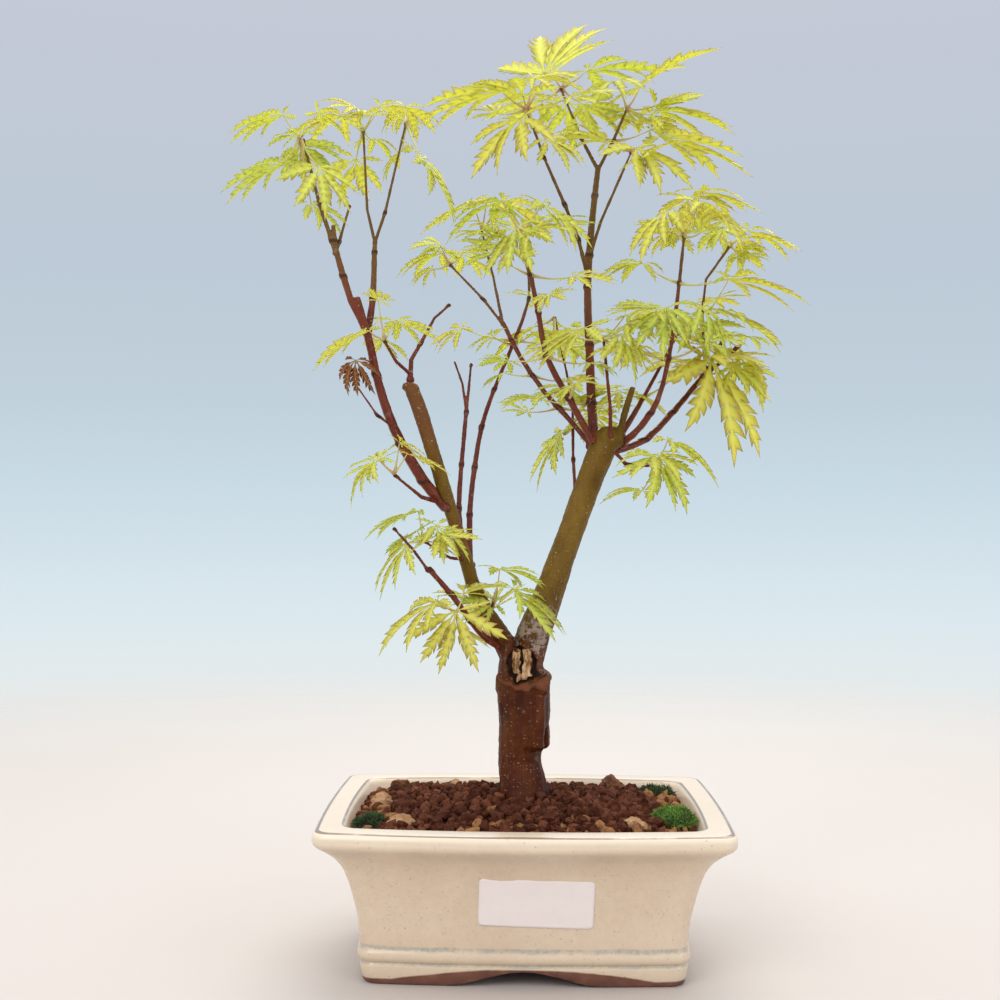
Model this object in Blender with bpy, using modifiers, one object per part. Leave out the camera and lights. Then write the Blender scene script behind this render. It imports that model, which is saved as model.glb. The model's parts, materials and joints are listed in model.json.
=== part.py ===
"""Bonsai maple in a glazed rectangular pot.

Units are metres, +Z is up, and the origin is on the ground under the middle of the pot.
The long walls of the pot face -Y (front) and +Y (back). Lengths below are in millimetres
and are turned into metres where the meshes are made.
"""

import math

import bmesh
import bpy
from mathutils import Matrix, Vector, noise

MM = 0.001
FIT_GAP = 0.35          # clearance between neighbouring pieces

# pot
DEPTH_STEP = 22.0       # the pot is this much narrower, each side, front to back
RIM_TOP = 70.0
RIM_BOW = 5.0           # how far the middle of a long side stands out at the rim
FOOT_BOW = 2.5          # the same at the foot
SIDE_BOW = 1.5          # the same on the short sides
FLOOR_UNDERSIDE = 7.5
FLOOR_TOP = 12.5
FOOT_INSET = 13.0       # width of the foot ring seen from below
ARCH_HALF_WIDTH = 37.0
ARCH_HEIGHT = 7.0
HOLE_X = 36.0
HOLE_RADIUS = 8.0
SCREEN_SIDE = 27.0
SCREEN_THICKNESS = 1.2
SCREEN_CELLS = 7        # cells along a side of the mesh, every other one open
LONG_STEPS = 8          # pieces that a long side, a short side and a corner are made of
SHORT_STEPS = 4
CORNER_STEPS = 3
ARCH_SEGMENTS = 32
HOLE_SEGMENTS = 16
CUT_BEYOND = 5.0        # cutters reach at least this far past what they cut

# outer wall from the foot to the rim: (height, half width)
WALL_PROFILE = [
    (0.0, 69.8), (1.2, 70.9), (8.4, 72.2), (9.6, 71.4), (11.0, 72.8), (12.8, 73.3),
    (14.6, 72.8), (16.2, 71.9), (28.0, 73.0), (40.0, 75.6), (50.0, 78.3), (56.0, 82.0),
    (60.4, 87.0), (64.0, 90.8), (67.6, 91.0), (RIM_TOP, 88.2),
]
# inner wall from the rim down to the floor
HOLLOW_PROFILE = [
    (RIM_TOP, 79.6), (67.5, 77.8), (52.0, 73.4), (20.0, 66.8), (FLOOR_TOP, 64.5),
]
OUTER_CORNER = 7.0
INNER_CORNER = 9.0
INNER_BOW = RIM_BOW - 1.0

# soil
SOIL_EDGE = 63.5        # height of the soil along the rim
SOIL_CROWN = 72.5       # height of the soil at the trunk
MOUND_RINGS = (0.86, 0.6, 0.3)  # size of each ring of the mound, as a part of the edge
TRUNK_X = -1.0          # the mound rises round this point
TRUNK_Y = 3.0
SOCKET_STATIONS = 6     # this many points of the trunk's line reach into the soil or just above

# label on the front wall
LABEL_CENTRE = (5.3, 38.0)
LABEL_SIZE = (50.0, 22.5)
LABEL_TILT = math.radians(-1.5)
LABEL_THICKNESS = 0.3
LABEL_CELLS = 6

# leaves: angle from the middle lobe, and length as a part of the middle lobe's
LEAF_LOBES = [
    (0, 1.0), (34, 0.92), (70, 0.74), (112, 0.45), (248, 0.45), (290, 0.74), (326, 0.92),
]
LEAF_SINUS = 0.27       # how deep the cuts between the lobes run, as a part of the length
LEAF_BASE_SINUS = 0.15  # the same for the cut that the stalk enters by
LEAF_CURL = 0.20        # how far the lobe tips droop below the blade's plane
LEAF_CURL_POWER = 1.6   # how late along a lobe the droop sets in
LEAF_THICKNESS = 1.0
STALK_INSET = 1.2       # the stalk joins this far behind the hub
STALK_RADIUS = 0.5
STALK_FLARE = 1.5       # how much thicker the stalk is at the bud
STALK_RISE = 2.4        # the last part of the stalk is upright and this long
STALK_SIDES = 4
BUD_RADIUS = 1.4

# stems: the number of sides, and which shoots count as thick
TRUNK_SIDES = 12
RIGHT_LIMB_SIDES = 10
LEFT_LIMB_SIDES = 8
STUB_SIDES = 6
THICK_SHOOT = 1.4       # a shoot that starts thicker than this has more sides and more steps
THICK_SHOOT_SIDES = 6
THIN_SHOOT_SIDES = 4
FORK_SWELLING = 1.4     # a fork's ball, as a part of the branch's radius
FINE_KNOB = 4.5         # knobs with no radius under this get a finer ball

# lumps: how far the noise presses them in or out, and how quickly it changes
LUMP_ROUGHNESS = 0.16
LUMP_FREQUENCY = 1.7

# seeds of the lumps' noise; the stones and mosses carry their own
KNOB_SEED = 20
FORK_SEED = 3
BUD_SEED = 5

# wood: points (x, y, z) with the radius at each
TRUNK_AXIS = [
    ((-1, 3, 50), 9.0), ((-1, 3, 62), 12.5), ((-1, 3, 70), 13.2), ((-1, 3, 77), 11.6),
    ((-2, 3, 90), 10.1), ((-2, 3, 104), 10.3), ((-2, 3, 116), 11.2), ((-2, 3, 126), 11.4),
    ((-2, 3, 134), 10.6), ((-2, 3, 141), 9.0),
]
LEFT_LIMB = [
    ((-4, 3, 134), 6.5), ((-10, 2, 145), 5.4), ((-19, 0, 159), 4.3), ((-25, -2, 173), 3.6),
    ((-29, -4, 187), 3.3), ((-33, -6, 200), 3.3), ((-37, -8, 213), 3.5), ((-41, -10, 226), 3.4),
    ((-45, -12, 239), 3.5), ((-49, -14, 252), 3.7), ((-53, -16, 263), 3.5),
]
RIGHT_LIMB = [
    ((-1, 3, 132), 8.6), ((4, 4, 149), 8.0), ((11, 5, 167), 7.2), ((16, 6, 182), 6.6),
    ((21, 7, 196), 6.1), ((26, 8, 210), 6.2), ((31, 9, 224), 6.4), ((36, 10, 236), 6.8),
    ((39, 10, 243), 5.8),
]
# swellings on the trunk and limbs: (centre, radii)
WOOD_KNOBS = [
    ((7.6, 1, 127), (3.2, 5.0, 8.0)),      # right end of the callus ridge
    ((-11.0, 1, 125), (3.2, 5.0, 7.0)),    # left end of the callus ridge
    ((7.2, 2, 101), (3.6, 5.0, 9.0)),      # long swelling half way up on the right
    ((-1.0, -5.0, 126), (9.0, 4.0, 4.6)),  # callus ridge over the front
    ((-54.0, -15, 264), (4.3, 4.3, 2.6)),  # cut end of the left limb
    ((40.0, 9, 242), (8.0, 6.5, 6.0)),     # knuckle that carries the crown
]
# pruned stubs that never grew on
STUBS = [
    [((-7, -4, 137), 2.4), ((-8, -6, 149), 2.0)],
    [((43, 7, 239), 2.1), ((46, 4, 252), 1.9), ((50, 1, 266), 1.6)],
]

# shoots: a list of branches for each, every branch a radius at its start, a radius at its
# tip and the points it passes through
SHOOTS = {
    "shoot_outer_left": [
        (3.0, 1.5, [(-37, -8, 208), (-48, -11, 221), (-58, -14, 238), (-64, -18, 252),
                    (-69, -22, 269), (-73, -26, 288), (-80, -30, 302), (-86, -35, 323)]),
        (1.4, 0.8, [(-86, -35, 322), (-93, -39, 343), (-100, -43, 371)]),
        (1.1, 0.7, [(-86, -35, 322), (-81, -27, 345)]),
        (1.3, 1.2, [(-86, -35, 322), (-87, -38, 334)]),
        (1.9, 1.5, [(-73, -26, 288), (-77, -31, 303)]),
        (0.9, 0.6, [(-61, -16, 245), (-68, -25, 250), (-76, -33, 262)]),
    ],
    "shoot_outer_right": [
        (1.9, 1.2, [(-73, -25, 286), (-71, -19, 304), (-71, -15, 320), (-71, -12, 332)]),
        (1.1, 0.7, [(-71, -12, 331), (-75, -9, 347), (-78, -1, 386)]),
        (1.1, 0.7, [(-71, -12, 331), (-66, -16, 344), (-56, -23, 384)]),
    ],
    "shoot_stump": [
        (1.4, 0.8, [(-54, -16, 262), (-54, -9, 277), (-50, -5, 285), (-44, 2, 298),
                    (-37, 6, 305)]),
        (1.2, 0.8, [(-54, -13, 270), (-60, -21, 275), (-65, -26, 284)]),
    ],
    "shoot_inner_dead": [
        (1.5, 1.1, [(-30, -3, 190), (-32, 6, 208), (-31, 10, 229), (-29, 14, 255)]),
        (0.9, 0.7, [(-29, 14, 254), (-31, 15, 268), (-35, 16, 279)]),
        (1.0, 0.8, [(-29, 14, 254), (-27, 18, 278)]),
    ],
    "shoot_inner_long": [
        (1.6, 0.8, [(-26, -1, 178), (-27, 10, 205), (-25, 20, 228), (-22, 27, 248),
                    (-16, 33, 267), (-7, 40, 290), (1, 46, 314), (0, 48, 331)]),
    ],
    "shoot_low_left": [
        (2.0, 1.2, [(-11, 0, 143), (-18, -7, 147), (-25, -15, 156), (-34, -23, 169),
                    (-44, -31, 181)]),
        (0.9, 0.7, [(-44, -31, 180), (-51, -35, 190), (-59, -39, 199)]),
    ],
    "shoot_middle_left": [
        (1.4, 0.8, [(-41, -10, 211), (-48, -17, 213), (-60, -27, 223)]),
    ],
    "shoot_middle_low": [
        (1.1, 0.7, [(-28, -5, 184), (-35, -12, 185), (-47, -21, 193)]),
    ],
    "shoot_fork_twig": [
        (1.2, 0.8, [(-15, -1, 152), (-17, -9, 157), (-15, -14, 165)]),
    ],
    "shoot_leader": [
        (2.6, 1.5, [(33, 10, 236), (31, 11, 259), (30, 13, 287), (29, 15, 315), (31, 18, 346),
                    (34, 21, 374)]),
        (1.2, 0.7, [(34, 21, 373), (26, 24, 389), (16, 29, 415)]),
        (1.2, 0.8, [(34, 21, 373), (41, 17, 386), (47, 13, 400)]),
        (1.3, 0.7, [(30, 16, 330), (35, 11, 346), (49, 5, 378)]),
    ],
    "shoot_leader_left": [
        (1.3, 0.8, [(29, 14, 320), (24, 4, 336), (17, -8, 350), (7, -20, 369), (-1, -30, 388)]),
    ],
    "shoot_crown_left": [
        (1.9, 1.1, [(34, 8, 236), (20, 1, 260), (9, -8, 279), (5, -14, 299), (-3, -24, 333)]),
    ],
    "shoot_crown_outer": [
        (1.5, 1.2, [(35, 12, 234), (22, 18, 250), (9, 26, 265), (-3, 34, 283), (-12, 39, 301)]),
        (1.0, 0.7, [(-12, 39, 300), (-22, 42, 313), (-39, 47, 331)]),
        (1.0, 0.7, [(-12, 39, 300), (-17, 40, 324), (-23, 42, 347)]),
    ],
    "shoot_back_thin": [
        (1.1, 0.7, [(24, 9, 208), (23, 24, 232), (23, 38, 262), (14, 48, 305)]),
    ],
    "shoot_front_green": [
        (1.2, 0.8, [(40, 6, 238), (39, -5, 256), (35, -17, 286)]),
    ],
    "shoot_right": [
        (2.0, 0.8, [(44, 10, 239), (50, 3, 243), (58, -4, 253), (63, -10, 266), (67, -20, 292),
                    (70, -32, 331)]),
    ],
    "shoot_right_inner": [
        (1.6, 0.8, [(45, 12, 243), (53, 17, 256), (61, 24, 270), (74, 34, 294)]),
    ],
    "shoot_far_right": [
        (1.9, 1.4, [(43, 14, 236), (58, 22, 242), (72, 30, 256), (89, 39, 276)]),
        (1.2, 1.1, [(89, 39, 275), (99, 43, 295)]),
        (1.3, 1.1, [(89, 39, 275), (106, 40, 290)]),
        (1.0, 0.8, [(89, 39, 275), (88, 44, 308), (90, 46, 324), (102, 45, 341)]),
    ],
    "shoot_low_right": [
        (1.2, 0.8, [(42, 4, 235), (47, -4, 229), (58, -18, 228)]),
    ],
}

# leaf sprays: the point where the stalks start, then for each leaf its centre, the compass
# direction of its middle lobe, that lobe's length, and how steeply the blade hangs
SPRAYS = {
    "spray_far_left": ((-101, -45, 371), [
        ((-108, -47, 380), 185, 26, 12), ((-95, -38, 384), 20, 22, 5),
        ((-107, -48, 359), 180, 31, 18), ((-92, -52, 356), 300, 24, 50)]),
    "spray_left_top": ((-78, -1, 386), [
        ((-86, -6, 391), 170, 28, 2), ((-71, 3, 398), 10, 24, -8), ((-82, 6, 374), 120, 26, 20)]),
    "spray_left_front": ((-56, -23, 384), [
        ((-57, -19, 392), 75, 22, 0), ((-49, -28, 366), 345, 30, 45)]),
    "spray_stump": ((-65, -26, 284), [
        ((-71, -33, 287), 180, 30, 22), ((-60, -24, 293), 60, 22, 10)]),
    "spray_crown_outer": ((-39, 47, 331), [
        ((-43, 50, 337), 165, 26, 5), ((-33, 54, 338), 60, 20, 20)]),
    "spray_crown_outer_top": ((-23, 42, 347), [
        ((-27, 38, 360), 200, 28, 12), ((-14, 44, 362), 40, 28, 8)]),
    "spray_middle_left": ((-60, -27, 223), [
        ((-66, -33, 229), 195, 24, 25), ((-54, -29, 232), 10, 20, 10)]),
    "spray_middle_low": ((-47, -21, 193), [
        ((-53, -28, 192), 210, 27, 40), ((-49, -23, 206), 180, 26, 8),
        ((-41, -25, 200), 320, 22, 30)]),
    "spray_low_left": ((-36, -28, 170), [
        ((-39, -34, 166), 195, 33, 22), ((-31, -33, 162), 260, 28, 60)]),
    "spray_fork": ((-15, -14, 165), [
        ((-6, -20, 171), 340, 32, 22), ((-12, -20, 180), 40, 24, 5)]),
    "spray_leader_left": ((-1, -30, 388), [
        ((-12, -35, 394), 180, 38, 4), ((7, -32, 403), 60, 38, -62), ((-4, -39, 381), 235, 32, 38)]),
    "spray_top": ((16, 29, 415), [
        ((29, 31, 424), 15, 36, -18), ((12, 32, 423), 60, 30, -70), ((20, 40, 411), 80, 30, 20)]),
    "spray_top_right": ((47, 13, 400), [
        ((54, 12, 411), 25, 42, -42), ((61, 18, 403), 0, 40, 8), ((42, 6, 411), 240, 26, 5)]),
    "spray_upper_right": ((49, 5, 378), [
        ((62, 2, 384), 0, 44, 8), ((50, -8, 376), 300, 34, 25)]),
    "spray_crown_left": ((-3, -24, 333), [
        ((-12, -22, 348), 175, 30, 5), ((6, -31, 345), 330, 30, 28), ((-5, -38, 333), 250, 26, 45)]),
    "spray_right_top": ((70, -32, 331), [
        ((76, -37, 344), 330, 32, 18), ((62, -39, 340), 215, 28, 28), ((73, -22, 350), 60, 28, 8)]),
    "spray_right_mid": ((67, -23, 290), [
        ((62, -33, 298), 255, 26, 35), ((78, -29, 299), 325, 28, 35)]),
    "spray_right_inner": ((74, 34, 294), [
        ((68, 32, 306), 200, 26, 20), ((78, 24, 302), 300, 28, 30)]),
    "spray_far_right_top": ((102, 45, 341), [
        ((110, 44, 348), 0, 28, 6), ((100, 54, 352), 110, 20, 12), ((90, 41, 352), 190, 30, 5)]),
    "spray_far_right": ((90, 42, 306), [
        ((100, 37, 322), 358, 37, 2), ((98, 35, 306), 345, 34, 14)]),
    "spray_hanging_right": ((95, 38, 286), [
        ((90, 29, 282), 310, 50, 55), ((104, 33, 285), 15, 30, 35)]),
    "spray_low_right": ((59, -20, 228), [
        ((64, -23, 239), 345, 30, 12), ((58, -30, 231), 300, 28, 42)]),
    "spray_back_thin": ((14, 48, 305), [
        ((4, 51, 300), 190, 28, 18), ((20, 55, 300), 60, 22, 35)]),
    "spray_back_low": ((23, 37, 252), [
        ((18, 41, 246), 200, 30, 50), ((32, 41, 256), 20, 26, 25)]),
    "spray_front_green": ((35, -17, 286), [
        ((26, -24, 290), 215, 28, 28), ((42, -26, 287), 310, 24, 40)]),
}

# one curled brown leaf, caught on the outer left shoot
DEAD_LEAF_SPRAY = ((-73, -30, 282), [((-77, -33, 274), 265, 20, 62)])

# loose stones: (centre, radii, seed)
STONES = {
    "stone_dark": ((-60, 36, 68.0), (5.5, 4.5, 4.5), 1),
    "stone_ochre": ((-34, 39, 68.5), (4.4, 3.6, 3.4), 2),
    "stone_tan_flat": ((-54, -37, 67.0), (6.4, 4.6, 3.2), 3),
    "stone_pale_left": ((-67, 4, 67.5), (4.6, 4.2, 3.6), 4),
    "stone_brown_right": ((44, 34, 69.5), (6.2, 5.0, 4.6), 6),
    "stone_tan_front": ((50, -38, 67.0), (5.0, 4.0, 3.0), 9),
}
DARK_STONES = ("stone_dark", "stone_brown_right")
MOSSES = {
    "moss_bright": ((67.4, -25, 65.5), (8.6, 11.5, 5.4), 11),
    "moss_front_left": ((-69, -32, 64.5), (6.8, 8.5, 3.6), 12),
    "moss_back_right": ((65, 38, 65.0), (9.0, 6.0, 3.8), 14),
}

# each material's colour and roughness
GLAZE = ((0.73, 0.58, 0.41), 0.22)
STICKER = ((0.90, 0.90, 0.88), 0.45)
PLASTIC = ((0.02, 0.02, 0.02), 0.50)
SOIL = ((0.10, 0.032, 0.018), 0.95)
TAN_STONE = ((0.40, 0.20, 0.09), 0.85)
DARK_STONE = ((0.10, 0.04, 0.025), 0.85)
MOSS = ((0.12, 0.26, 0.02), 0.95)
DARK_MOSS = ((0.03, 0.07, 0.015), 0.95)
BARK = ((0.14, 0.05, 0.02), 0.55)
SHOOT = ((0.16, 0.035, 0.025), 0.45)
LEAF = ((0.50, 0.56, 0.08), 0.50)
DEAD_LEAF = ((0.42, 0.14, 0.04), 0.80)


def collection(name):
    made = bpy.data.collections.new(name)
    bpy.context.scene.collection.children.link(made)
    return made


for old in list(bpy.data.objects):
    bpy.data.objects.remove(old, do_unlink=True)
parts = collection("bonsai_maple")
workbench = collection("workbench")


def material(name, finish):
    colour, roughness = finish
    made = bpy.data.materials.new(name)
    made.use_nodes = True
    shader = made.node_tree.nodes["Principled BSDF"]
    shader.inputs["Base Color"].default_value = (*colour, 1.0)
    shader.inputs["Roughness"].default_value = roughness
    shader.inputs["Metallic"].default_value = 0.0
    return made


def from_bmesh(name, mesh_data):
    mesh = bpy.data.meshes.new(name)
    mesh_data.to_mesh(mesh)
    mesh_data.free()
    made = bpy.data.objects.new(name, mesh)
    workbench.objects.link(made)
    return made


def bake(made):
    """The object's mesh as its modifiers leave it, in place of the object."""
    bpy.context.view_layer.update()
    graph = bpy.context.evaluated_depsgraph_get()
    mesh = bpy.data.meshes.new_from_object(made.evaluated_get(graph))
    baked = bmesh.new()
    baked.from_mesh(mesh)
    if made.type == "CURVE":
        bmesh.ops.remove_doubles(baked, verts=baked.verts, dist=1e-7)
        bmesh.ops.recalc_face_normals(baked, faces=baked.faces)
    bpy.data.meshes.remove(mesh)
    name = made.name
    bpy.data.objects.remove(made, do_unlink=True)
    return from_bmesh(name, baked)


def in_triangles(made):
    """Split the faces, because bent four-sided faces would leave slits in a Boolean."""
    faces = bmesh.new()
    faces.from_mesh(made.data)
    bmesh.ops.triangulate(faces, faces=faces.faces)
    faces.to_mesh(made.data)
    faces.free()
    return made


def combine(base, others, operation):
    """Apply one Boolean for each of the others, then clear the others away."""
    for other in others:
        other.hide_render = True
        other.display_type = "WIRE"
        step = base.modifiers.new(operation.lower(), "BOOLEAN")
        step.operation = operation
        step.solver = "EXACT"
        step.object = other
    base = bake(base)
    for other in others:
        bpy.data.objects.remove(other, do_unlink=True)
    return base


def finish(made, name, finish_values, smooth_angle=35.0):
    """Name the piece, give it its material and put it among the parts."""
    made.name = name
    made.data.name = name
    made.data.materials.clear()
    made.data.materials.append(material(name, finish_values))
    if smooth_angle:
        made.data.shade_smooth()
        made.data.set_sharp_from_angle(angle=math.radians(smooth_angle))
    workbench.objects.unlink(made)
    parts.objects.link(made)
    return made


def loft(name, rings, close_ends=True):
    """Skin a stack of equal rings that run counter-clockwise from the lowest to the highest."""
    made = bmesh.new()
    loops = [[made.verts.new(Vector(point) * MM) for point in ring] for ring in rings]
    count = len(rings[0])
    for lower, upper in zip(loops, loops[1:]):
        for i in range(count):
            j = (i + 1) % count
            made.faces.new((lower[i], lower[j], upper[j], upper[i]))
    if close_ends:
        made.faces.new(list(reversed(loops[0])))
        made.faces.new(loops[-1])
    return in_triangles(from_bmesh(name, made))


def wall_bow(x, z, flat_x, full_bow):
    """How far a long wall stands out at x; it swells less towards the foot."""
    share = min(1.0, abs(x) / flat_x)
    return (FOOT_BOW + (full_bow - FOOT_BOW) * z / RIM_TOP) * (1.0 - share * share)


def pot_ring(z, half_width, corner, full_bow=RIM_BOW):
    """A rounded rectangle with bowed sides at height z."""
    half_depth = half_width - DEPTH_STEP
    flat_x = half_width - corner
    flat_y = half_depth - corner
    half_ring = []
    for i in range(1, LONG_STEPS):
        x = -flat_x + 2 * flat_x * i / LONG_STEPS
        half_ring.append((x, -half_depth - wall_bow(x, z, flat_x, full_bow), z))
    for i in range(CORNER_STEPS + 1):
        turn = math.radians(-90 + 90 * i / CORNER_STEPS)
        half_ring.append((flat_x + corner * math.cos(turn), -flat_y + corner * math.sin(turn), z))
    for i in range(1, SHORT_STEPS):
        y = -flat_y + 2 * flat_y * i / SHORT_STEPS
        half_ring.append((half_width + SIDE_BOW * (1.0 - (y / flat_y) ** 2), y, z))
    for i in range(CORNER_STEPS + 1):
        turn = math.radians(90 * i / CORNER_STEPS)
        half_ring.append((flat_x + corner * math.cos(turn), flat_y + corner * math.sin(turn), z))
    return half_ring + [(-x, -y, z) for x, y, z in half_ring]


def make_pot():
    """The glazed wall and floor, less the hollow foot, the foot's arches and the drain holes."""
    outer = [pot_ring(z, half, OUTER_CORNER) for z, half in WALL_PROFILE]
    inner = [pot_ring(z, half, INNER_CORNER, INNER_BOW) for z, half in HOLLOW_PROFILE]
    pot = loft("pot", outer + inner)
    foot_half = WALL_PROFILE[0][1]
    recess_half = foot_half - FOOT_INSET
    recess = [pot_ring(z, recess_half, OUTER_CORNER) for z in (-CUT_BEYOND, FLOOR_UNDERSIDE)]
    cutters = [loft("recess", recess)]
    arch = bmesh.new()
    bmesh.ops.create_cone(arch, segments=ARCH_SEGMENTS, radius1=1.0, radius2=1.0, depth=1.0,
                          cap_ends=True)
    arch_length = 2 * (foot_half - DEPTH_STEP + FOOT_BOW + CUT_BEYOND)
    size = Matrix.Diagonal((ARCH_HALF_WIDTH * MM, arch_length * MM, ARCH_HEIGHT * MM, 1.0))
    lying = Matrix.Rotation(math.radians(90), 4, "X")
    bmesh.ops.transform(arch, matrix=size @ lying, verts=arch.verts)
    cutters.append(from_bmesh("arch", arch))
    hole_depth = FLOOR_TOP - FLOOR_UNDERSIDE + 2 * CUT_BEYOND
    hole_z = (FLOOR_TOP + FLOOR_UNDERSIDE) / 2
    for side in (-1, 1):
        hole = bmesh.new()
        bmesh.ops.create_cone(hole, segments=HOLE_SEGMENTS, radius1=HOLE_RADIUS * MM,
                              radius2=HOLE_RADIUS * MM, depth=hole_depth * MM, cap_ends=True)
        middle = Vector((side * HOLE_X, 0, hole_z)) * MM
        bmesh.ops.translate(hole, vec=middle, verts=hole.verts)
        cutters.append(from_bmesh("drain_hole", hole))
    finish(combine(pot, cutters, "DIFFERENCE"), "pot", GLAZE)


def screen_block(x, grow):
    """The outline of one drainage screen, as a plain slab."""
    slab = bmesh.new()
    bmesh.ops.create_cube(slab, size=1.0)
    side = (SCREEN_SIDE + 2 * grow) * MM
    height = (SCREEN_THICKNESS + 2 * grow) * MM
    bmesh.ops.scale(slab, vec=(side, side, height), verts=slab.verts)
    middle = Vector((x, 0, FLOOR_TOP + FIT_GAP + SCREEN_THICKNESS / 2)) * MM
    bmesh.ops.translate(slab, vec=middle, verts=slab.verts)
    return from_bmesh("screen_block", slab)


def make_screen(name, x):
    """A square of plastic mesh: a grid with every other cell open, given thickness."""
    grid = bmesh.new()
    bmesh.ops.create_grid(grid, x_segments=SCREEN_CELLS, y_segments=SCREEN_CELLS,
                          size=SCREEN_SIDE / 2 * MM)
    pitch = SCREEN_SIDE / SCREEN_CELLS * MM
    middle_cell = (SCREEN_CELLS - 1) / 2
    open_cells = []
    for face in grid.faces:
        middle = face.calc_center_median()
        column = round(middle.x / pitch + middle_cell)
        row = round(middle.y / pitch + middle_cell)
        if column % 2 == 1 and row % 2 == 1:
            open_cells.append(face)
    bmesh.ops.delete(grid, geom=open_cells, context="FACES_ONLY")
    bmesh.ops.translate(grid, vec=Vector((x, 0, FLOOR_TOP + FIT_GAP)) * MM, verts=grid.verts)
    screen = from_bmesh(name, grid)
    wall = screen.modifiers.new("thickness", "SOLIDIFY")
    wall.thickness = SCREEN_THICKNESS * MM
    wall.offset = 1.0
    finish(bake(screen), name, PLASTIC, smooth_angle=0)


def rounded_lump(name, centre, radii, seed, grow, detail=2, roughness=LUMP_ROUGHNESS):
    """A ball pressed out of round by smooth noise; grow adds an even clearance."""
    lump = bmesh.new()
    bmesh.ops.create_icosphere(lump, subdivisions=detail, radius=1.0)
    for vert in lump.verts:
        direction = vert.co.normalized()
        place = direction * LUMP_FREQUENCY + Vector((seed * 7.3, 0, seed))
        swell = 1.0 + roughness * noise.noise(place)
        shape = direction * Vector(radii)
        vert.co = (Vector(centre) + shape * swell + direction * grow) * MM
    return from_bmesh(name, lump)


def make_soil():
    """Fills the pot's hollow up to its rim and rises in a low mound to the trunk."""
    floor_z, floor_half = HOLLOW_PROFILE[-1]
    rings = [(floor_z + FIT_GAP, floor_half)] + list(reversed(HOLLOW_PROFILE[2:-1]))
    (low_z, low_half), (high_z, high_half) = HOLLOW_PROFILE[2], HOLLOW_PROFILE[1]
    edge_half = low_half + (high_half - low_half) * (SOIL_EDGE - low_z) / (high_z - low_z)
    rings.append((SOIL_EDGE, edge_half))
    rings = [pot_ring(z, half - 1.5 * FIT_GAP, INNER_CORNER, INNER_BOW) for z, half in rings]
    edge = rings[-1]
    for shrink in MOUND_RINGS:
        middle = Vector((TRUNK_X, TRUNK_Y, 0.0)) * (1.0 - shrink)
        rise = (SOIL_CROWN - SOIL_EDGE) * (1.0 - shrink ** 2)
        rings.append([(x * shrink + middle.x, y * shrink + middle.y, z + rise) for x, y, z in edge])
    soil = loft("soil", rings)
    socket = TRUNK_AXIS[:SOCKET_STATIONS]
    cutters = [wood_tube("root_socket", socket, TRUNK_SIDES, FIT_GAP)]
    for side in (-1, 1):
        cutters.append(screen_block(side * HOLE_X, FIT_GAP))
    for name, (centre, radii, seed) in list(STONES.items()) + list(MOSSES.items()):
        cutters.append(rounded_lump(name, centre, radii, seed, FIT_GAP))
    finish(combine(soil, cutters, "DIFFERENCE"), "soil", SOIL)


def make_label():
    """A sticker that follows the hollow front wall and its slight bow."""
    sheet = bmesh.new()
    bmesh.ops.create_grid(sheet, x_segments=LABEL_CELLS, y_segments=LABEL_CELLS, size=0.5)
    turn = Matrix.Rotation(LABEL_TILT, 2)
    for vert in sheet.verts:
        flat = turn @ Vector((vert.co.x * LABEL_SIZE[0], vert.co.y * LABEL_SIZE[1]))
        x = LABEL_CENTRE[0] + flat.x
        z = LABEL_CENTRE[1] + flat.y
        for (low_z, low_half), (high_z, high_half) in zip(WALL_PROFILE, WALL_PROFILE[1:]):
            if low_z <= z <= high_z:
                half = low_half + (high_half - low_half) * (z - low_z) / (high_z - low_z)
        wall = half - DEPTH_STEP + wall_bow(x, z, half - OUTER_CORNER, RIM_BOW)
        vert.co = Vector((x, -wall - FIT_GAP, z)) * MM
    label = from_bmesh("label", sheet)
    paper = label.modifiers.new("paper", "SOLIDIFY")
    paper.thickness = LABEL_THICKNESS * MM
    paper.offset = 1.0
    finish(bake(label), "label", STICKER)


def wood_tube(name, stations, sides, grow=0.0):
    """A round stem through stations (point, radius), with filled ends; grow adds clearance."""
    data = bpy.data.curves.new(name, "CURVE")
    data.dimensions = "3D"
    data.bevel_depth = MM
    data.bevel_resolution = (sides - 4) // 2
    data.use_fill_caps = True
    places = [Vector(place) for place, _ in stations]
    radii = [radius for _, radius in stations]
    places[0] += (places[0] - places[1]).normalized() * grow
    places[-1] += (places[-1] - places[-2]).normalized() * grow
    spline = data.splines.new("POLY")
    spline.points.add(len(places) - 1)
    for point, place, radius in zip(spline.points, places, radii):
        point.co = (*(place * MM), 1.0)
        point.radius = radius + grow
    made = bpy.data.objects.new(name, data)
    workbench.objects.link(made)
    return in_triangles(bake(made))


def smooth_path(points, steps):
    """Points along a Catmull-Rom curve through the given ones."""
    ends = [points[0] * 2 - points[1]] + points + [points[-1] * 2 - points[-2]]
    path = []
    for a, b, c, d in zip(ends, ends[1:], ends[2:], ends[3:]):
        for i in range(steps):
            t = i / steps
            path.append(0.5 * (2 * b + (c - a) * t + (2 * a - 5 * b + 4 * c - d) * t * t
                               + (3 * b - a - 3 * c + d) * t ** 3))
    return path + [points[-1]]


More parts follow.
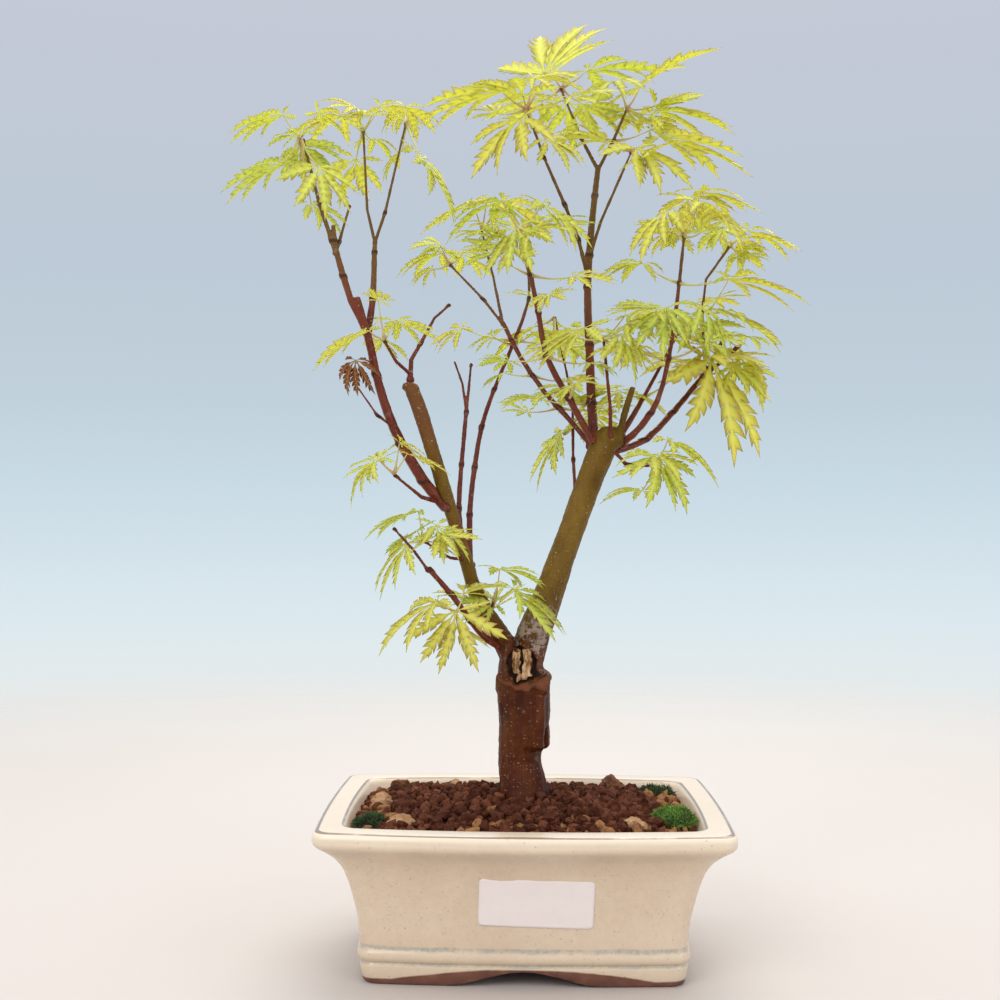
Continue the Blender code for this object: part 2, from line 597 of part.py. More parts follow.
def trunk_solids(grow):
    """The trunk, its two limbs, the pruned stubs and the swellings."""
    solids = [
        wood_tube("trunk", TRUNK_AXIS, TRUNK_SIDES, grow),
        wood_tube("left_limb", LEFT_LIMB, LEFT_LIMB_SIDES, grow),
        wood_tube("right_limb", RIGHT_LIMB, RIGHT_LIMB_SIDES, grow),
    ]
    for stub in STUBS:
        solids.append(wood_tube("stub", stub, STUB_SIDES, grow))
    for i, (centre, radii) in enumerate(WOOD_KNOBS):
        detail = 2 if min(radii) > FINE_KNOB else 1
        solids.append(rounded_lump("knob", centre, radii, KNOB_SEED + i, grow, detail))
    return solids


def shoot_solids(branches, grow):
    """Tapered tubes, with a small swelling where branches leave the first one."""
    solids = []
    forks = set()
    for i, (start, tip, points) in enumerate(branches):
        thick = start > THICK_SHOOT
        path = smooth_path([Vector(point) for point in points], 2 if thick else 1)
        stations = []
        for k, place in enumerate(path):
            stations.append((place, start + (tip - start) * k / (len(path) - 1)))
        sides = THICK_SHOOT_SIDES if thick else THIN_SHOOT_SIDES
        solids.append(wood_tube("branch", stations, sides, grow))
        if i and points[0] not in forks:
            forks.add(points[0])
            ball = (start * FORK_SWELLING,) * 3
            node = rounded_lump("node", points[0], ball, FORK_SEED, grow, detail=1, roughness=0.0)
            solids.append(node)
    return solids


def grown(solids):
    """One piece of wood or leaf, made of all the solids."""
    return combine(solids[0], solids[1:], "UNION")


def span(solid):
    """The lowest and the highest corner of the solid's box."""
    corners = [vert.co for vert in solid.data.vertices]
    low = [min(c[i] for c in corners) for i in range(3)]
    high = [max(c[i] for c in corners) for i in range(3)]
    return low, high


def near(a, b):
    (low_a, high_a), (low_b, high_b) = a, b
    return all(low_a[i] < high_b[i] and low_b[i] < high_a[i] for i in range(3))


def clear_of(solid, wood):
    """Cut the solid back from every stem it reaches, leaving the fitting gap."""
    room = span(solid)
    cutters = []
    for extent, recipe in wood.values():
        if near(room, extent):
            for stem in recipe(FIT_GAP):
                if near(room, span(stem)):
                    cutters.append(stem)
                else:
                    bpy.data.objects.remove(stem, do_unlink=True)
    return combine(solid, cutters, "DIFFERENCE")


def make_wood():
    """The trunk and then every shoot, each cut clear of the wood made before it."""
    wood = {}
    trunk = grown(trunk_solids(0.0))
    wood["trunk"] = (span(trunk), trunk_solids)
    finish(trunk, "trunk", BARK)
    for name, branches in SHOOTS.items():
        def recipe(grow, branches=branches):
            return shoot_solids(branches, grow)
        shoot = clear_of(grown(recipe(0.0)), wood)
        wood[name] = (span(shoot), recipe)
        finish(shoot, name, SHOOT, smooth_angle=50)
    return wood


def leaf_solid(hub, ahead, length):
    """A blade with seven pointed lobes that fan out from its hub and droop at their tips.

    It is thickest at the hub, where the veins meet, and its rim is sharp.
    """
    across = Vector((-ahead.y, ahead.x, 0.0)).normalized()
    above = ahead.cross(across)
    blade = bmesh.new()
    upper = blade.verts.new((hub + above * LEAF_THICKNESS / 2) * MM)
    lower = blade.verts.new((hub - above * LEAF_THICKNESS / 2) * MM)
    rim = []
    next_angles = [angle for angle, _ in LEAF_LOBES[1:]] + [360]
    for (angle, share), next_angle in zip(LEAF_LOBES, next_angles):
        cut = LEAF_BASE_SINUS if angle < 180 < next_angle else LEAF_SINUS
        for degrees, reach in ((angle, share), ((angle + next_angle) / 2, cut)):
            way = math.radians(degrees)
            flat = (ahead * math.cos(way) + across * math.sin(way)) * reach * length
            droop = above * (LEAF_CURL * length * reach ** LEAF_CURL_POWER)
            rim.append(blade.verts.new((hub + flat - droop) * MM))
    for a, b in zip(rim, rim[1:] + rim[:1]):
        blade.faces.new((upper, a, b))
        blade.faces.new((lower, b, a))
    return from_bmesh("blade", blade)


def stalk_solid(start, hub, ahead):
    """A leaf stalk that rises from the bud and meets the blade from below, behind its hub."""
    end = hub - ahead * STALK_INSET
    below = end - Vector((0, 0, STALK_RISE))
    stations = [(start, STALK_RADIUS * STALK_FLARE), (below, STALK_RADIUS), (end, STALK_RADIUS)]
    return wood_tube("stalk", stations, STALK_SIDES)


def spray_solids(base, leaves):
    """A bud at the base, with a stalk and a blade for every leaf."""
    bud = Vector(base) + Vector((0, 0, BUD_RADIUS))
    ball = (BUD_RADIUS,) * 3
    solids = [rounded_lump("bud", bud, ball, BUD_SEED, 0.0, detail=1, roughness=0.0)]
    for hub, heading, length, pitch in leaves:
        turn = math.radians(heading)
        fall = math.radians(pitch)
        level = Vector((math.cos(turn), math.sin(turn), 0.0)) * math.cos(fall)
        ahead = level - Vector((0, 0, math.sin(fall)))
        solids.append(stalk_solid(bud, Vector(hub), ahead))
        solids.append(leaf_solid(Vector(hub), ahead, length))
    return solids


def make_leaves(wood):
    """The green sprays and the dead leaf, each cut clear of the wood."""
    for name, (base, leaves) in SPRAYS.items():
        finish(clear_of(grown(spray_solids(base, leaves)), wood), name, LEAF, smooth_angle=0)
    base, leaves = DEAD_LEAF_SPRAY
    dead = clear_of(grown(spray_solids(base, leaves)), wood)
    finish(dead, "leaf_dead", DEAD_LEAF, smooth_angle=0)


def make_ground_cover():
    """The loose stones and the cushions of moss, which sit in hollows of the soil."""
    for name, (centre, radii, seed) in STONES.items():
        look = DARK_STONE if name in DARK_STONES else TAN_STONE
        finish(rounded_lump(name, centre, radii, seed, 0.0), name, look)
    for name, (centre, radii, seed) in MOSSES.items():
        look = MOSS if name == "moss_bright" else DARK_MOSS
        finish(rounded_lump(name, centre, radii, seed, 0.0), name, look)


make_pot()
make_label()
make_screen("drain_screen_left", -HOLE_X)
make_screen("drain_screen_right", HOLE_X)
make_soil()
make_ground_cover()
make_leaves(make_wood())
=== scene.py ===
import bpy
import bmesh
import json
import math
import random
from mathutils import Matrix, Vector, noise
from mathutils.bvhtree import BVHTree

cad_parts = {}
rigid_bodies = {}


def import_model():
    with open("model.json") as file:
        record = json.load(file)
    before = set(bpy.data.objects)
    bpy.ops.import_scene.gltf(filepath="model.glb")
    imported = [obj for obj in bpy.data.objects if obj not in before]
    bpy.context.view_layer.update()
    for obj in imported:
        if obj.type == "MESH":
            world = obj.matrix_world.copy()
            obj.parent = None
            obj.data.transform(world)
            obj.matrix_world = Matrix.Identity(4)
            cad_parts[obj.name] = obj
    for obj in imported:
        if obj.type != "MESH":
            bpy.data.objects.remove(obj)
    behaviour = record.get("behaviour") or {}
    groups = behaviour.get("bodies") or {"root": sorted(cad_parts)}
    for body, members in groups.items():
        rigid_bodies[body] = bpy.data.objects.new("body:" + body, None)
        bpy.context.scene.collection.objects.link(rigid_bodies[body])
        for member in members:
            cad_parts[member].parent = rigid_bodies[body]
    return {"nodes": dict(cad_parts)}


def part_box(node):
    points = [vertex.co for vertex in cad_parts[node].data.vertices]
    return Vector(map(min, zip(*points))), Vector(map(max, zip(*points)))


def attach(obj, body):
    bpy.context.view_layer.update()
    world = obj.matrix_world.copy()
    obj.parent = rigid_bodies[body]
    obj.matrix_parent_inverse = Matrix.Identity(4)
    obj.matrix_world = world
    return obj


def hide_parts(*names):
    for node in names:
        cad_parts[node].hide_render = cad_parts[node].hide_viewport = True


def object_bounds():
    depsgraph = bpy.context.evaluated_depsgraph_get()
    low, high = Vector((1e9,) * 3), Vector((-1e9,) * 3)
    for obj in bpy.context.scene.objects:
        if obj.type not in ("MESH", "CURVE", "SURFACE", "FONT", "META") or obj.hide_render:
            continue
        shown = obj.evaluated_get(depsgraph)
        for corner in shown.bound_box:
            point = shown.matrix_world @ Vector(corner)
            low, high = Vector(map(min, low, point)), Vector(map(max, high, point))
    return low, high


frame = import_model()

# A cut-leaf maple in a cream glazed pot. Everything is in metres, and mm turns
# a length in millimetres into metres.
mm = 0.001
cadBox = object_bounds()
nodes = frame["nodes"]
shoots = sorted(name for name in nodes if name.startswith("shoot_"))
sprays = sorted(name for name in nodes if name.startswith("spray_"))


def setStops(ramp, stops):
    while len(ramp.elements) < len(stops):
        ramp.elements.new(1.0)
    for element, (position, colour) in zip(ramp.elements, stops):
        element.position = position
        element.color = (*colour, 1.0)


class Sock:
    # a node socket that takes part in Python expressions
    def __init__(self, graph, socket):
        self.graph = graph
        self.socket = socket

    def op(self, operation, *values):
        return self.graph.node("ShaderNodeMath", {"operation": operation}, dict(enumerate(values)))

    def __add__(self, other):
        return self.op("ADD", self, other)

    def __sub__(self, other):
        return self.op("SUBTRACT", self, other)

    def __rsub__(self, other):
        return self.op("SUBTRACT", other, self)

    def __mul__(self, other):
        return self.op("MULTIPLY", self, other)

    def __truediv__(self, other):
        return self.op("DIVIDE", self, other)

    def __pow__(self, other):
        return self.op("POWER", self, other)

    __radd__ = __add__
    __rmul__ = __mul__

    def low(self, other):
        return self.op("MINIMUM", self, other)

    def high(self, other):
        return self.op("MAXIMUM", self, other)

    def size(self):
        return self.op("ABSOLUTE", self)

    def ramp(self, start, end):
        # 0 at start, 1 at end, smooth between
        settings = {"interpolation_type": "SMOOTHSTEP"}
        return self.graph.node("ShaderNodeMapRange", settings, {"Value": self, 1: start, 2: end})


class Graph:
    # one material, built node by node
    def __init__(self, name):
        self.material = bpy.data.materials.new(name)
        self.material.use_nodes = True
        self.tree = self.material.node_tree
        self.tree.nodes.clear()
        self.place = self.node("ShaderNodeTexCoord", out="Object")
        split = self.node("ShaderNodeSeparateXYZ", {}, {0: self.place})
        self.x = split
        self.y = Sock(self, split.socket.node.outputs["Y"])
        self.z = Sock(self, split.socket.node.outputs["Z"])

    def node(self, kind, settings=None, inputs=None, out=0):
        made = self.tree.nodes.new(kind)
        for key, value in (settings or {}).items():
            if key == "stops":
                setStops(made.color_ramp, value)
            else:
                setattr(made, key, value)
        for key, value in (inputs or {}).items():
            if isinstance(value, Sock):
                self.tree.links.new(value.socket, made.inputs[key])
            elif value is not None:
                made.inputs[key].default_value = value
        return Sock(self, made.outputs[out])

    def attribute(self, name):
        return self.node("ShaderNodeAttribute", {"attribute_name": name}, out="Fac")

    def stretched(self, x, y, z):
        settings = {"operation": "MULTIPLY"}
        return self.node("ShaderNodeVectorMath", settings, {0: self.place, 1: (x, y, z)}, out="Vector")

    def noise(self, scale, detail=3.0, roughness=0.55, vector=None):
        values = {"Scale": scale, "Detail": detail, "Roughness": roughness}
        return self.node("ShaderNodeTexNoise", {}, {"Vector": vector or self.place, **values})

    def cells(self, scale, vector=None, out="Distance"):
        values = {"Vector": vector or self.place, "Scale": scale}
        return self.node("ShaderNodeTexVoronoi", {}, values, out=out)

    def lots(self, scale, vector=None):
        # one random number for each cell
        return self.node("ShaderNodeSeparateColor", {}, {0: self.cells(scale, vector, "Color")})

    def blend(self, factor, first, second):
        settings = {"data_type": "RGBA"}
        values = {0: factor, 6: self.rgba(first), 7: self.rgba(second)}
        return self.node("ShaderNodeMix", settings, values, out=2)

    def rgba(self, value):
        return value if isinstance(value, Sock) else (*value, 1.0)

    def colours(self, value, stops):
        return self.node("ShaderNodeValToRGB", {"stops": stops}, {0: value})

    def bump(self, height, depth, strength=1.0):
        values = {"Height": height, "Distance": depth, "Strength": strength}
        return self.node("ShaderNodeBump", {}, values)

    def surface(self, colour, roughness, normal=None, **constants):
        values = {"Base Color": self.rgba(colour), "Roughness": roughness, "Normal": normal}
        values.update({key.replace("_", " "): value for key, value in constants.items()})
        return self.node("ShaderNodeBsdfPrincipled", {}, values)

    def done(self, shader):
        end = self.tree.nodes.new("ShaderNodeOutputMaterial")
        self.tree.links.new(shader.socket, end.inputs["Surface"])
        return self.material


def glazeMaterial(potBox, shape):
    g = Graph("creamGlaze")
    cloud = g.noise(22, 3)
    fine = g.noise(260, 2)
    cream = g.colours(cloud * 0.7 + fine * 0.3,
                      [(0.30, (0.66, 0.505, 0.36)), (0.52, (0.735, 0.575, 0.42)),
                       (0.72, (0.795, 0.64, 0.48))])
    freckles = g.noise(900, 2).ramp(0.60, 0.72)
    cream = g.blend(freckles * 0.35, cream, (0.40, 0.28, 0.17))
    # painted highlight: the top 9 mm of the pot, round the lip, is painted a lighter cream
    rim = g.z.ramp(potBox[1].z - 9 * mm, potBox[1].z - 1 * mm)
    cream = g.blend(rim * 0.75, cream, (0.93, 0.775, 0.60))
    foot = g.z.ramp(26 * mm, 9 * mm)
    cream = g.blend(foot * 0.40, cream, (0.76, 0.62, 0.44))
    # ash-green glaze pools in the two grooves and under the lip
    wander = (g.noise(90, 3) - 0.5) * (1.8 * mm)
    pooled = 0.0
    for height, width, strength in shape["pools"]:
        band = 1.0 - ((g.z + wander - height * mm).size() / (width * mm)).low(1.0)
        pooled = band.ramp(0.0, 0.8) * strength + pooled
    broken = g.noise(60, 3).ramp(0.25, 0.65) * 0.55 + g.noise(520, 3).ramp(0.35, 0.65) * 0.45
    cream = g.blend((pooled * broken).low(0.8), cream, (0.33, 0.34, 0.30))
    # iron specks, in two sizes
    dots = g.cells(430).ramp(0.22, 0.10) * g.lots(430).ramp(0.70, 0.85)
    bigDots = g.cells(120).ramp(0.11, 0.06) * g.lots(120).ramp(0.93, 0.96)
    cream = g.blend(dots * 0.55, cream, (0.30, 0.19, 0.10))
    cream = g.blend(bigDots * 0.85, cream, (0.10, 0.06, 0.04))
    # the glaze breaks thin and brown along the edge of the lip
    thin = g.attribute("edge").ramp(0.35, 0.9) * (g.noise(45, 4).ramp(0.25, 0.50) * 0.65 + 0.35)
    cream = g.blend(thin * 0.85, cream, (0.17, 0.105, 0.085))
    # bare clay below a line that rises to the middle of each long side
    lift = (1.0 - (g.x / (potBox[1].x * 0.62)) ** 2.0).high(0.0)
    line = lift * (shape["glazeLine"][1] * mm) + shape["glazeLine"][0] * mm
    bare = (g.z - line + (g.noise(70, 4) - 0.5) * (1.2 * mm)).ramp(0.45 * mm, -0.45 * mm)
    clayMask = bare.high(g.attribute("under")).low(1.0)
    clay = g.colours(g.noise(140, 4), [(0.3, (0.13, 0.045, 0.028)), (0.7, (0.23, 0.085, 0.05))])
    colour = g.blend(clayMask, cream, clay)
    rough = 0.20 + clayMask * 0.55 + dots * 0.2 + g.noise(40, 2) * 0.10
    pits = dots * -0.5 + bigDots * -1.0
    height = cloud * 0.7 + fine * 0.08 + pits * 0.25 + clayMask * -0.6
    normal = g.bump(height, 0.35 * mm, 0.8)
    shader = g.surface(colour, rough, normal, Specular_IOR_Level=0.5, Coat_Weight=0.25,
                       Coat_Roughness=0.12)
    return g.done(shader)


def paperMaterial():
    g = Graph("blankPaper")
    colour = g.blend(g.noise(300, 3), (0.88, 0.78, 0.745), (0.93, 0.83, 0.79))
    normal = g.bump(g.noise(1200, 2), 0.02 * mm, 0.4)
    return g.done(g.surface(colour, 0.34 + g.noise(90, 2) * 0.1, normal))


def screenMaterial():
    g = Graph("blackMesh")
    colour = g.blend(g.noise(200, 2), (0.016, 0.016, 0.016), (0.035, 0.034, 0.032))
    normal = g.bump(g.noise(900, 2), 0.05 * mm, 0.5)
    return g.done(g.surface(colour, 0.5 + g.noise(500, 2) * 0.2, normal))


def soilMaterial():
    g = Graph("bakedClaySoil")
    pick = g.attribute("tint")
    edge = (g.x.size() / (76 * mm)).high((g.y - 4 * mm).size() / (58 * mm))
    pick = pick * 0.955 + edge.ramp(0.70, 0.94) * 0.22
    grain = g.noise(420, 5, 0.65)
    dark = g.blend(grain, (0.035, 0.009, 0.004), (0.150, 0.042, 0.020))
    brown = g.blend(grain, (0.075, 0.022, 0.010), (0.270, 0.090, 0.045))
    ochre = g.blend(grain, (0.23, 0.09, 0.030), (0.50, 0.26, 0.11))
    colour = g.blend(pick.ramp(0.35, 0.75), dark, brown)
    colour = g.blend(pick.ramp(0.93, 0.97), colour, ochre)
    pores = g.cells(700).ramp(0.30, 0.12)
    colour = g.blend(pores * 0.55, colour, (0.03, 0.012, 0.008))
    height = g.noise(330, 5, 0.75) * 1.3 + pores * -0.35
    normal = g.bump(height, 1.3 * mm)
    return g.done(g.surface(colour, 0.78 + grain * 0.2, normal, Specular_IOR_Level=0.15))


def stoneMaterial(name, darkTone, paleTone):
    g = Graph(name)
    grain = g.noise(380, 5, 0.7)
    patch = g.noise(120, 3)
    colour = g.blend(patch.ramp(0.3, 0.7) * 0.6 + grain * 0.4, darkTone, paleTone)
    pores = g.cells(520).ramp(0.28, 0.10)
    colour = g.blend(pores * 0.5, colour, tuple(value * 0.3 for value in darkTone))
    height = g.noise(260, 5, 0.7) + pores * -0.3
    normal = g.bump(height, 1.1 * mm)
    return g.done(g.surface(colour, 0.80 + grain * 0.15, normal, Specular_IOR_Level=0.2))


def mossMaterial(name, darkTone, brightTone, tipTone):
    g = Graph(name)
    tip = g.attribute("tip")
    patch = g.noise(160, 3)
    colour = g.blend(patch.ramp(0.35, 0.68), darkTone, brightTone)
    colour = g.blend(tip.ramp(0.55, 1.0) * 0.6, colour, tipTone)
    # painted shade: the lower half of each blade, and the cushion under the blades, darken to near-black
    colour = g.blend(tip.ramp(0.5, 0.0) * 0.8, colour, tuple(value * 0.18 for value in darkTone))
    return g.done(g.surface(colour, 0.85 - tip * 0.2, g.bump(g.noise(900, 3), 0.3 * mm, 0.8)))


def barkMaterial(shape):
    g = Graph("mapleBark")
    forkZ = shape["forkHeight"] * mm
    upright = g.stretched(1.0, 1.0, 0.28)
    streak = g.noise(150, 5, 0.65, vector=upright)
    patch = g.noise(62, 4, 0.6)
    redBrown = g.colours(streak * 0.6 + patch * 0.4,
                         [(0.28, (0.024, 0.004, 0.002)), (0.50, (0.080, 0.015, 0.004)),
                          (0.72, (0.170, 0.046, 0.010))])
    olive = g.colours(g.noise(110, 4, 0.6, vector=g.stretched(1, 1, 0.5)) * 0.7 + patch * 0.3,
                      [(0.28, (0.090, 0.046, 0.006)), (0.52, (0.175, 0.096, 0.012)),
                       (0.74, (0.245, 0.145, 0.024))])
    warm = g.noise(36, 3).ramp(0.46, 0.66) * g.z.ramp(86 * mm, 112 * mm)
    redBrown = g.blend(warm * 0.55, redBrown, (0.150, 0.050, 0.007))
    climb = g.z + (g.noise(85, 3) - 0.5) * (16 * mm)
    young = climb.ramp(forkZ + 2 * mm, forkZ + 22 * mm)
    colour = g.blend(young, redBrown, olive)
    # reddish blush on the sunny side of the limbs
    blush = g.noise(38, 3).ramp(0.50, 0.72) * young
    colour = g.blend(blush * 0.6, colour, (0.150, 0.045, 0.016))
    # the upper end of the left limb has died back to dry brown
    driedBack = g.x.ramp(-26 * mm, -36 * mm) * g.z.ramp(222 * mm, 248 * mm)
    colour = g.blend(driedBack * 0.8, colour, (0.165, 0.062, 0.024))
    # grey-green lichen low on the trunk, whitish crust round the fork
    lichen = g.noise(95, 5, 0.7).ramp(0.60, 0.67) * (1.0 - young)
    colour = g.blend(lichen * 0.6, colour, (0.22, 0.175, 0.075))
    nearFork = 1.0 - ((g.z - forkZ - 10 * mm).size() / (30 * mm)).low(1.0)
    onRight = g.x.ramp(-9 * mm, -1 * mm) * 0.75 + 0.25
    flecks = g.noise(420, 5, 0.75) * 0.65 + g.noise(120, 3) * 0.35
    crust = (flecks + nearFork * 0.155 * onRight).ramp(0.60, 0.68) * nearFork.ramp(0.0, 0.2)
    colour = g.blend(crust * 0.80, colour, (0.43, 0.33, 0.28))
    # lenticels: small pale marks, wider than tall
    flat = g.stretched(0.8, 0.8, 1.2)
    fineFlat = g.stretched(0.85, 0.85, 1.1)
    crowded = g.noise(70, 3).ramp(0.35, 0.60)
    dots = g.cells(430, flat).ramp(0.30, 0.14) * g.lots(430, flat).ramp(0.76, 0.88)
    fineDots = g.cells(760, fineFlat).ramp(0.36, 0.16) * g.lots(760, fineFlat).ramp(0.50, 0.72)
    lenticels = dots.high(fineDots * crowded)
    colour = g.blend(lenticels * 0.62, colour, (0.46, 0.29, 0.18))
    # old cuts are pale inside and dark around; the dark deep part of the hollow is painted shade
    wound = g.attribute("wound")
    splinter = g.noise(320, 4, 0.6, vector=g.stretched(1.6, 1.0, 0.35))
    heart = g.colours(splinter,
                      [(0.36, (0.14, 0.045, 0.016)), (0.48, (0.56, 0.32, 0.16)), (0.66, (0.80, 0.57, 0.38))])
    # the swollen callus ridge is painted paler and pinker: partly its own colour, partly a painted highlight
    # along the ridge
    colour = g.blend(g.attribute("ridge").ramp(0.3, 1.0) * 0.5, colour, (0.27, 0.095, 0.045))
    # painted shade: the deepest part of the hollow, round the pale splinters, is near-black
    colour = g.blend(g.attribute("scar").ramp(0.15, 0.7), colour, (0.022, 0.007, 0.005))
    colour = g.blend(wound.ramp(0.45, 0.75), colour, heart)
    colour = g.blend(g.attribute("cut").ramp(0.2, 0.8) * 0.85, colour, (0.060, 0.042, 0.028))
    # darker and a little glossier towards the soil line
    nearSoil = g.z.ramp(92 * mm, 70 * mm)
    colour = g.blend(nearSoil * 0.45, colour, (0.060, 0.010, 0.004))
    rough = 0.38 + crust * 0.4 + streak * 0.22 + wound * 0.3 - nearSoil * 0.06
    height = streak * 0.9 + lenticels * 0.4 + crust * 0.4 + g.noise(280, 4, 0.65) * 0.5
    return g.done(g.surface(colour, rough, g.bump(height, 0.75 * mm), Specular_IOR_Level=0.15))


def youngBarkMaterial():
    g = Graph("redYoungBark")
    patch = g.noise(75, 3)
    colour = g.colours(patch * 0.75 + g.noise(420, 3) * 0.25,
                       [(0.30, (0.085, 0.013, 0.007)), (0.52, (0.165, 0.029, 0.015)),
                        (0.74, (0.215, 0.062, 0.022))])
    # the newest wood near the tips is greener
    green = (g.noise(30, 2) * 0.5 + g.z.ramp(230 * mm, 380 * mm) * 0.55).ramp(0.42, 0.68) * 0.85
    colour = g.blend(green, colour, (0.160, 0.090, 0.018))
    colour = g.blend(g.attribute("joint").ramp(0.2, 0.9) * 0.75, colour, (0.030, 0.007, 0.005))
    lenticels = g.cells(620).ramp(0.30, 0.16) * g.lots(620).ramp(0.74, 0.84)
    colour = g.blend(lenticels * 0.6, colour, (0.42, 0.27, 0.18))
    bloom = g.noise(190, 4).ramp(0.60, 0.75)
    colour = g.blend(bloom * 0.3, colour, (0.34, 0.22, 0.17))
    colour = g.blend(g.attribute("cut").ramp(0.15, 0.6) * 0.92, colour, (0.016, 0.010, 0.008))
    rough = 0.30 + bloom * 0.25 + patch * 0.12
    height = g.noise(500, 3, vector=g.stretched(1, 1, 0.3)) + lenticels * 0.5
    return g.done(g.surface(colour, rough, g.bump(height, 0.22 * mm, 0.8), Specular_IOR_Level=0.28))


def leafMaterial(name, tones, marginTone, glow):
    # rib runs from 0 on a midrib to 1 at the tooth tips; tint differs from leaf to leaf
    g = Graph(name)
    rib = g.attribute("rib")
    tint = g.attribute("tint")
    along = g.attribute("along")
    mottle = g.noise(230, 4, 0.6)
    blade = g.colours(tint * 0.72 + mottle * 0.28, tones)
    margin = rib.ramp(0.45, 0.85) * (0.35 + g.noise(75, 3).ramp(0.36, 0.62) * 0.65)
    tipGlow = along.ramp(0.78, 1.0) * 0.4
    colour = g.blend((margin * 0.85).high(tipGlow) * (1.0 - tint * 0.5), blade, marginTone)
    vein = rib.ramp(0.15, 0.03).high(along.ramp(0.16, 0.02))
    colour = g.blend(vein * 0.6, colour, (0.90, 0.90, 0.42))
    rough = 0.42 + mottle * 0.22
    normal = g.bump(g.noise(520, 2) + vein * -0.8, 0.16 * mm, 0.7)
    gloss = g.surface(colour, rough, normal, Specular_IOR_Level=0.35)
    through = g.node("ShaderNodeBsdfTranslucent", {}, {"Color": (*glow, 1.0)})
    return g.done(g.node("ShaderNodeMixShader", {}, {0: 0.5, 1: gloss, 2: through}))


def stalkMaterial():
    g = Graph("leafStalk")
    blush = g.noise(55, 2).ramp(0.38, 0.62)
    colour = g.blend(blush, (0.62, 0.64, 0.22), (0.60, 0.42, 0.20))
    low = g.attribute("thick").ramp(0.60 * mm, 1.1 * mm)
    colour = g.blend(low * 0.8, colour, (0.24, 0.075, 0.035))
    normal = g.bump(g.noise(700, 2), 0.05 * mm, 0.5)
    return g.done(g.surface(colour, 0.38 + g.noise(300, 2) * 0.15, normal))


def floorMaterial():
    g = Graph("paleTable")
    colour = g.blend(g.noise(3.0, 2), (0.585, 0.535, 0.495), (0.615, 0.56, 0.52))
    away = (g.x ** 2.0 + g.y ** 2.0) ** 0.5
    near, far = studio["tableFade"]
    shader = g.surface(colour, 0.6 + g.noise(30, 2) * 0.1, g.bump(g.noise(400, 2), 0.05 * mm, 0.3),
                       Alpha=away.ramp(far * 0.98, near))
    return g.done(shader)


def cadMesh(name):
    # the CAD node's triangles, copied and joined at their corners
    work = bmesh.new()
    work.from_mesh(nodes[name].data)
    bmesh.ops.remove_doubles(work, verts=work.verts, dist=1e-6)
    return work


def newPiece(name, work, material):
    mesh = bpy.data.meshes.new(name)
    work.to_mesh(mesh)
    work.free()
    piece = bpy.data.objects.new(name, mesh)
    bpy.context.scene.collection.objects.link(piece)
    mesh.materials.append(material)
    mesh.shade_smooth()
    return piece


def baked(piece):
    # the piece's mesh as its modifiers leave it, with the modifiers gone
    bpy.context.view_layer.update()
    graph = bpy.context.evaluated_depsgraph_get()
    mesh = bpy.data.meshes.new_from_object(piece.evaluated_get(graph))
    piece.modifiers.clear()
    piece.data = mesh
    mesh.name = piece.name
    return piece


def settle(piece, slot, *replaced):
    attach(piece, "root")
    if replaced:
        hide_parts(*replaced)
    return piece


def setAttribute(mesh, name, values):
    layer = mesh.attributes.get(name) or mesh.attributes.new(name, "FLOAT", "POINT")
    layer.data.foreach_set("value", values)


def smoothStep(value, start, end):
    share = max(0.0, min(1.0, (value - start) / (end - start)))
    return share * share * (3.0 - 2.0 * share)


def remeshed(piece, voxel, rounds):
    step = piece.modifiers.new("skin", "REMESH")
    step.mode = "VOXEL"
    step.voxel_size = voxel
    step.use_smooth_shade = True
    soften = piece.modifiers.new("soften", "SMOOTH")
    soften.iterations = rounds
    soften.factor = 0.5
    return baked(piece)


class Growth:
    # one Geometry Nodes tree; its inputs are named, and set by identifier on a piece
    def __init__(self, name, inputs):
        self.tree = bpy.data.node_groups.new(name, "GeometryNodeTree")
        face = self.tree.interface
        face.new_socket("Geometry", in_out="INPUT", socket_type="NodeSocketGeometry")
        self.ids = {}
        for label, kind in inputs.items():
            self.ids[label] = face.new_socket(label, in_out="INPUT", socket_type=kind).identifier
        face.new_socket("Geometry", in_out="OUTPUT", socket_type="NodeSocketGeometry")
        self.source = self.tree.nodes.new("NodeGroupInput")
        self.end = self.tree.nodes.new("NodeGroupOutput")

    def given(self, label):
        return self.source.outputs[label]

    def node(self, kind, settings=None, inputs=None, out=0):
        made = self.tree.nodes.new(kind)
        for key, value in (settings or {}).items():
            setattr(made, key, value)
        for key, value in (inputs or {}).items():
            if isinstance(value, bpy.types.NodeSocket):
                self.tree.links.new(value, made.inputs[key])
            else:
                made.inputs[key].default_value = value
        return made.outputs[out]

    def named(self, name, kind="FLOAT"):
        return self.node("GeometryNodeInputNamedAttribute", {"data_type": kind}, {0: name})

    def joined(self, *parts):
        made = self.tree.nodes.new("GeometryNodeJoinGeometry")
        for part in reversed(parts):
            self.tree.links.new(part, made.inputs[0])
        return made.outputs[0]

    def finish(self, geometry, material):
        real = self.node("GeometryNodeRealizeInstances", {}, {0: geometry})
        dressed = self.node("GeometryNodeSetMaterial", {}, {0: real, "Material": material})
        self.tree.links.new(dressed, self.end.inputs[0])

    def growOn(self, piece, values):
        step = piece.modifiers.new(self.tree.name, "NODES")
        step.node_group = self.tree
        for label, value in values.items():
            step[self.ids[label]] = value
        return baked(piece)


def shelf(name, meshes):
    # shapes that a tree picks from; they are never in the scene themselves
    made = bpy.data.collections.new(name)
    for number, work in enumerate(meshes):
        mesh = bpy.data.meshes.new(f"{name}{number:02d}")
        work.to_mesh(mesh)
        work.free()
        made.objects.link(bpy.data.objects.new(mesh.name, mesh))
    return made


def clearShelf(collection):
    for thing in list(collection.objects):
        bpy.data.objects.remove(thing, do_unlink=True)
    bpy.data.collections.remove(collection)


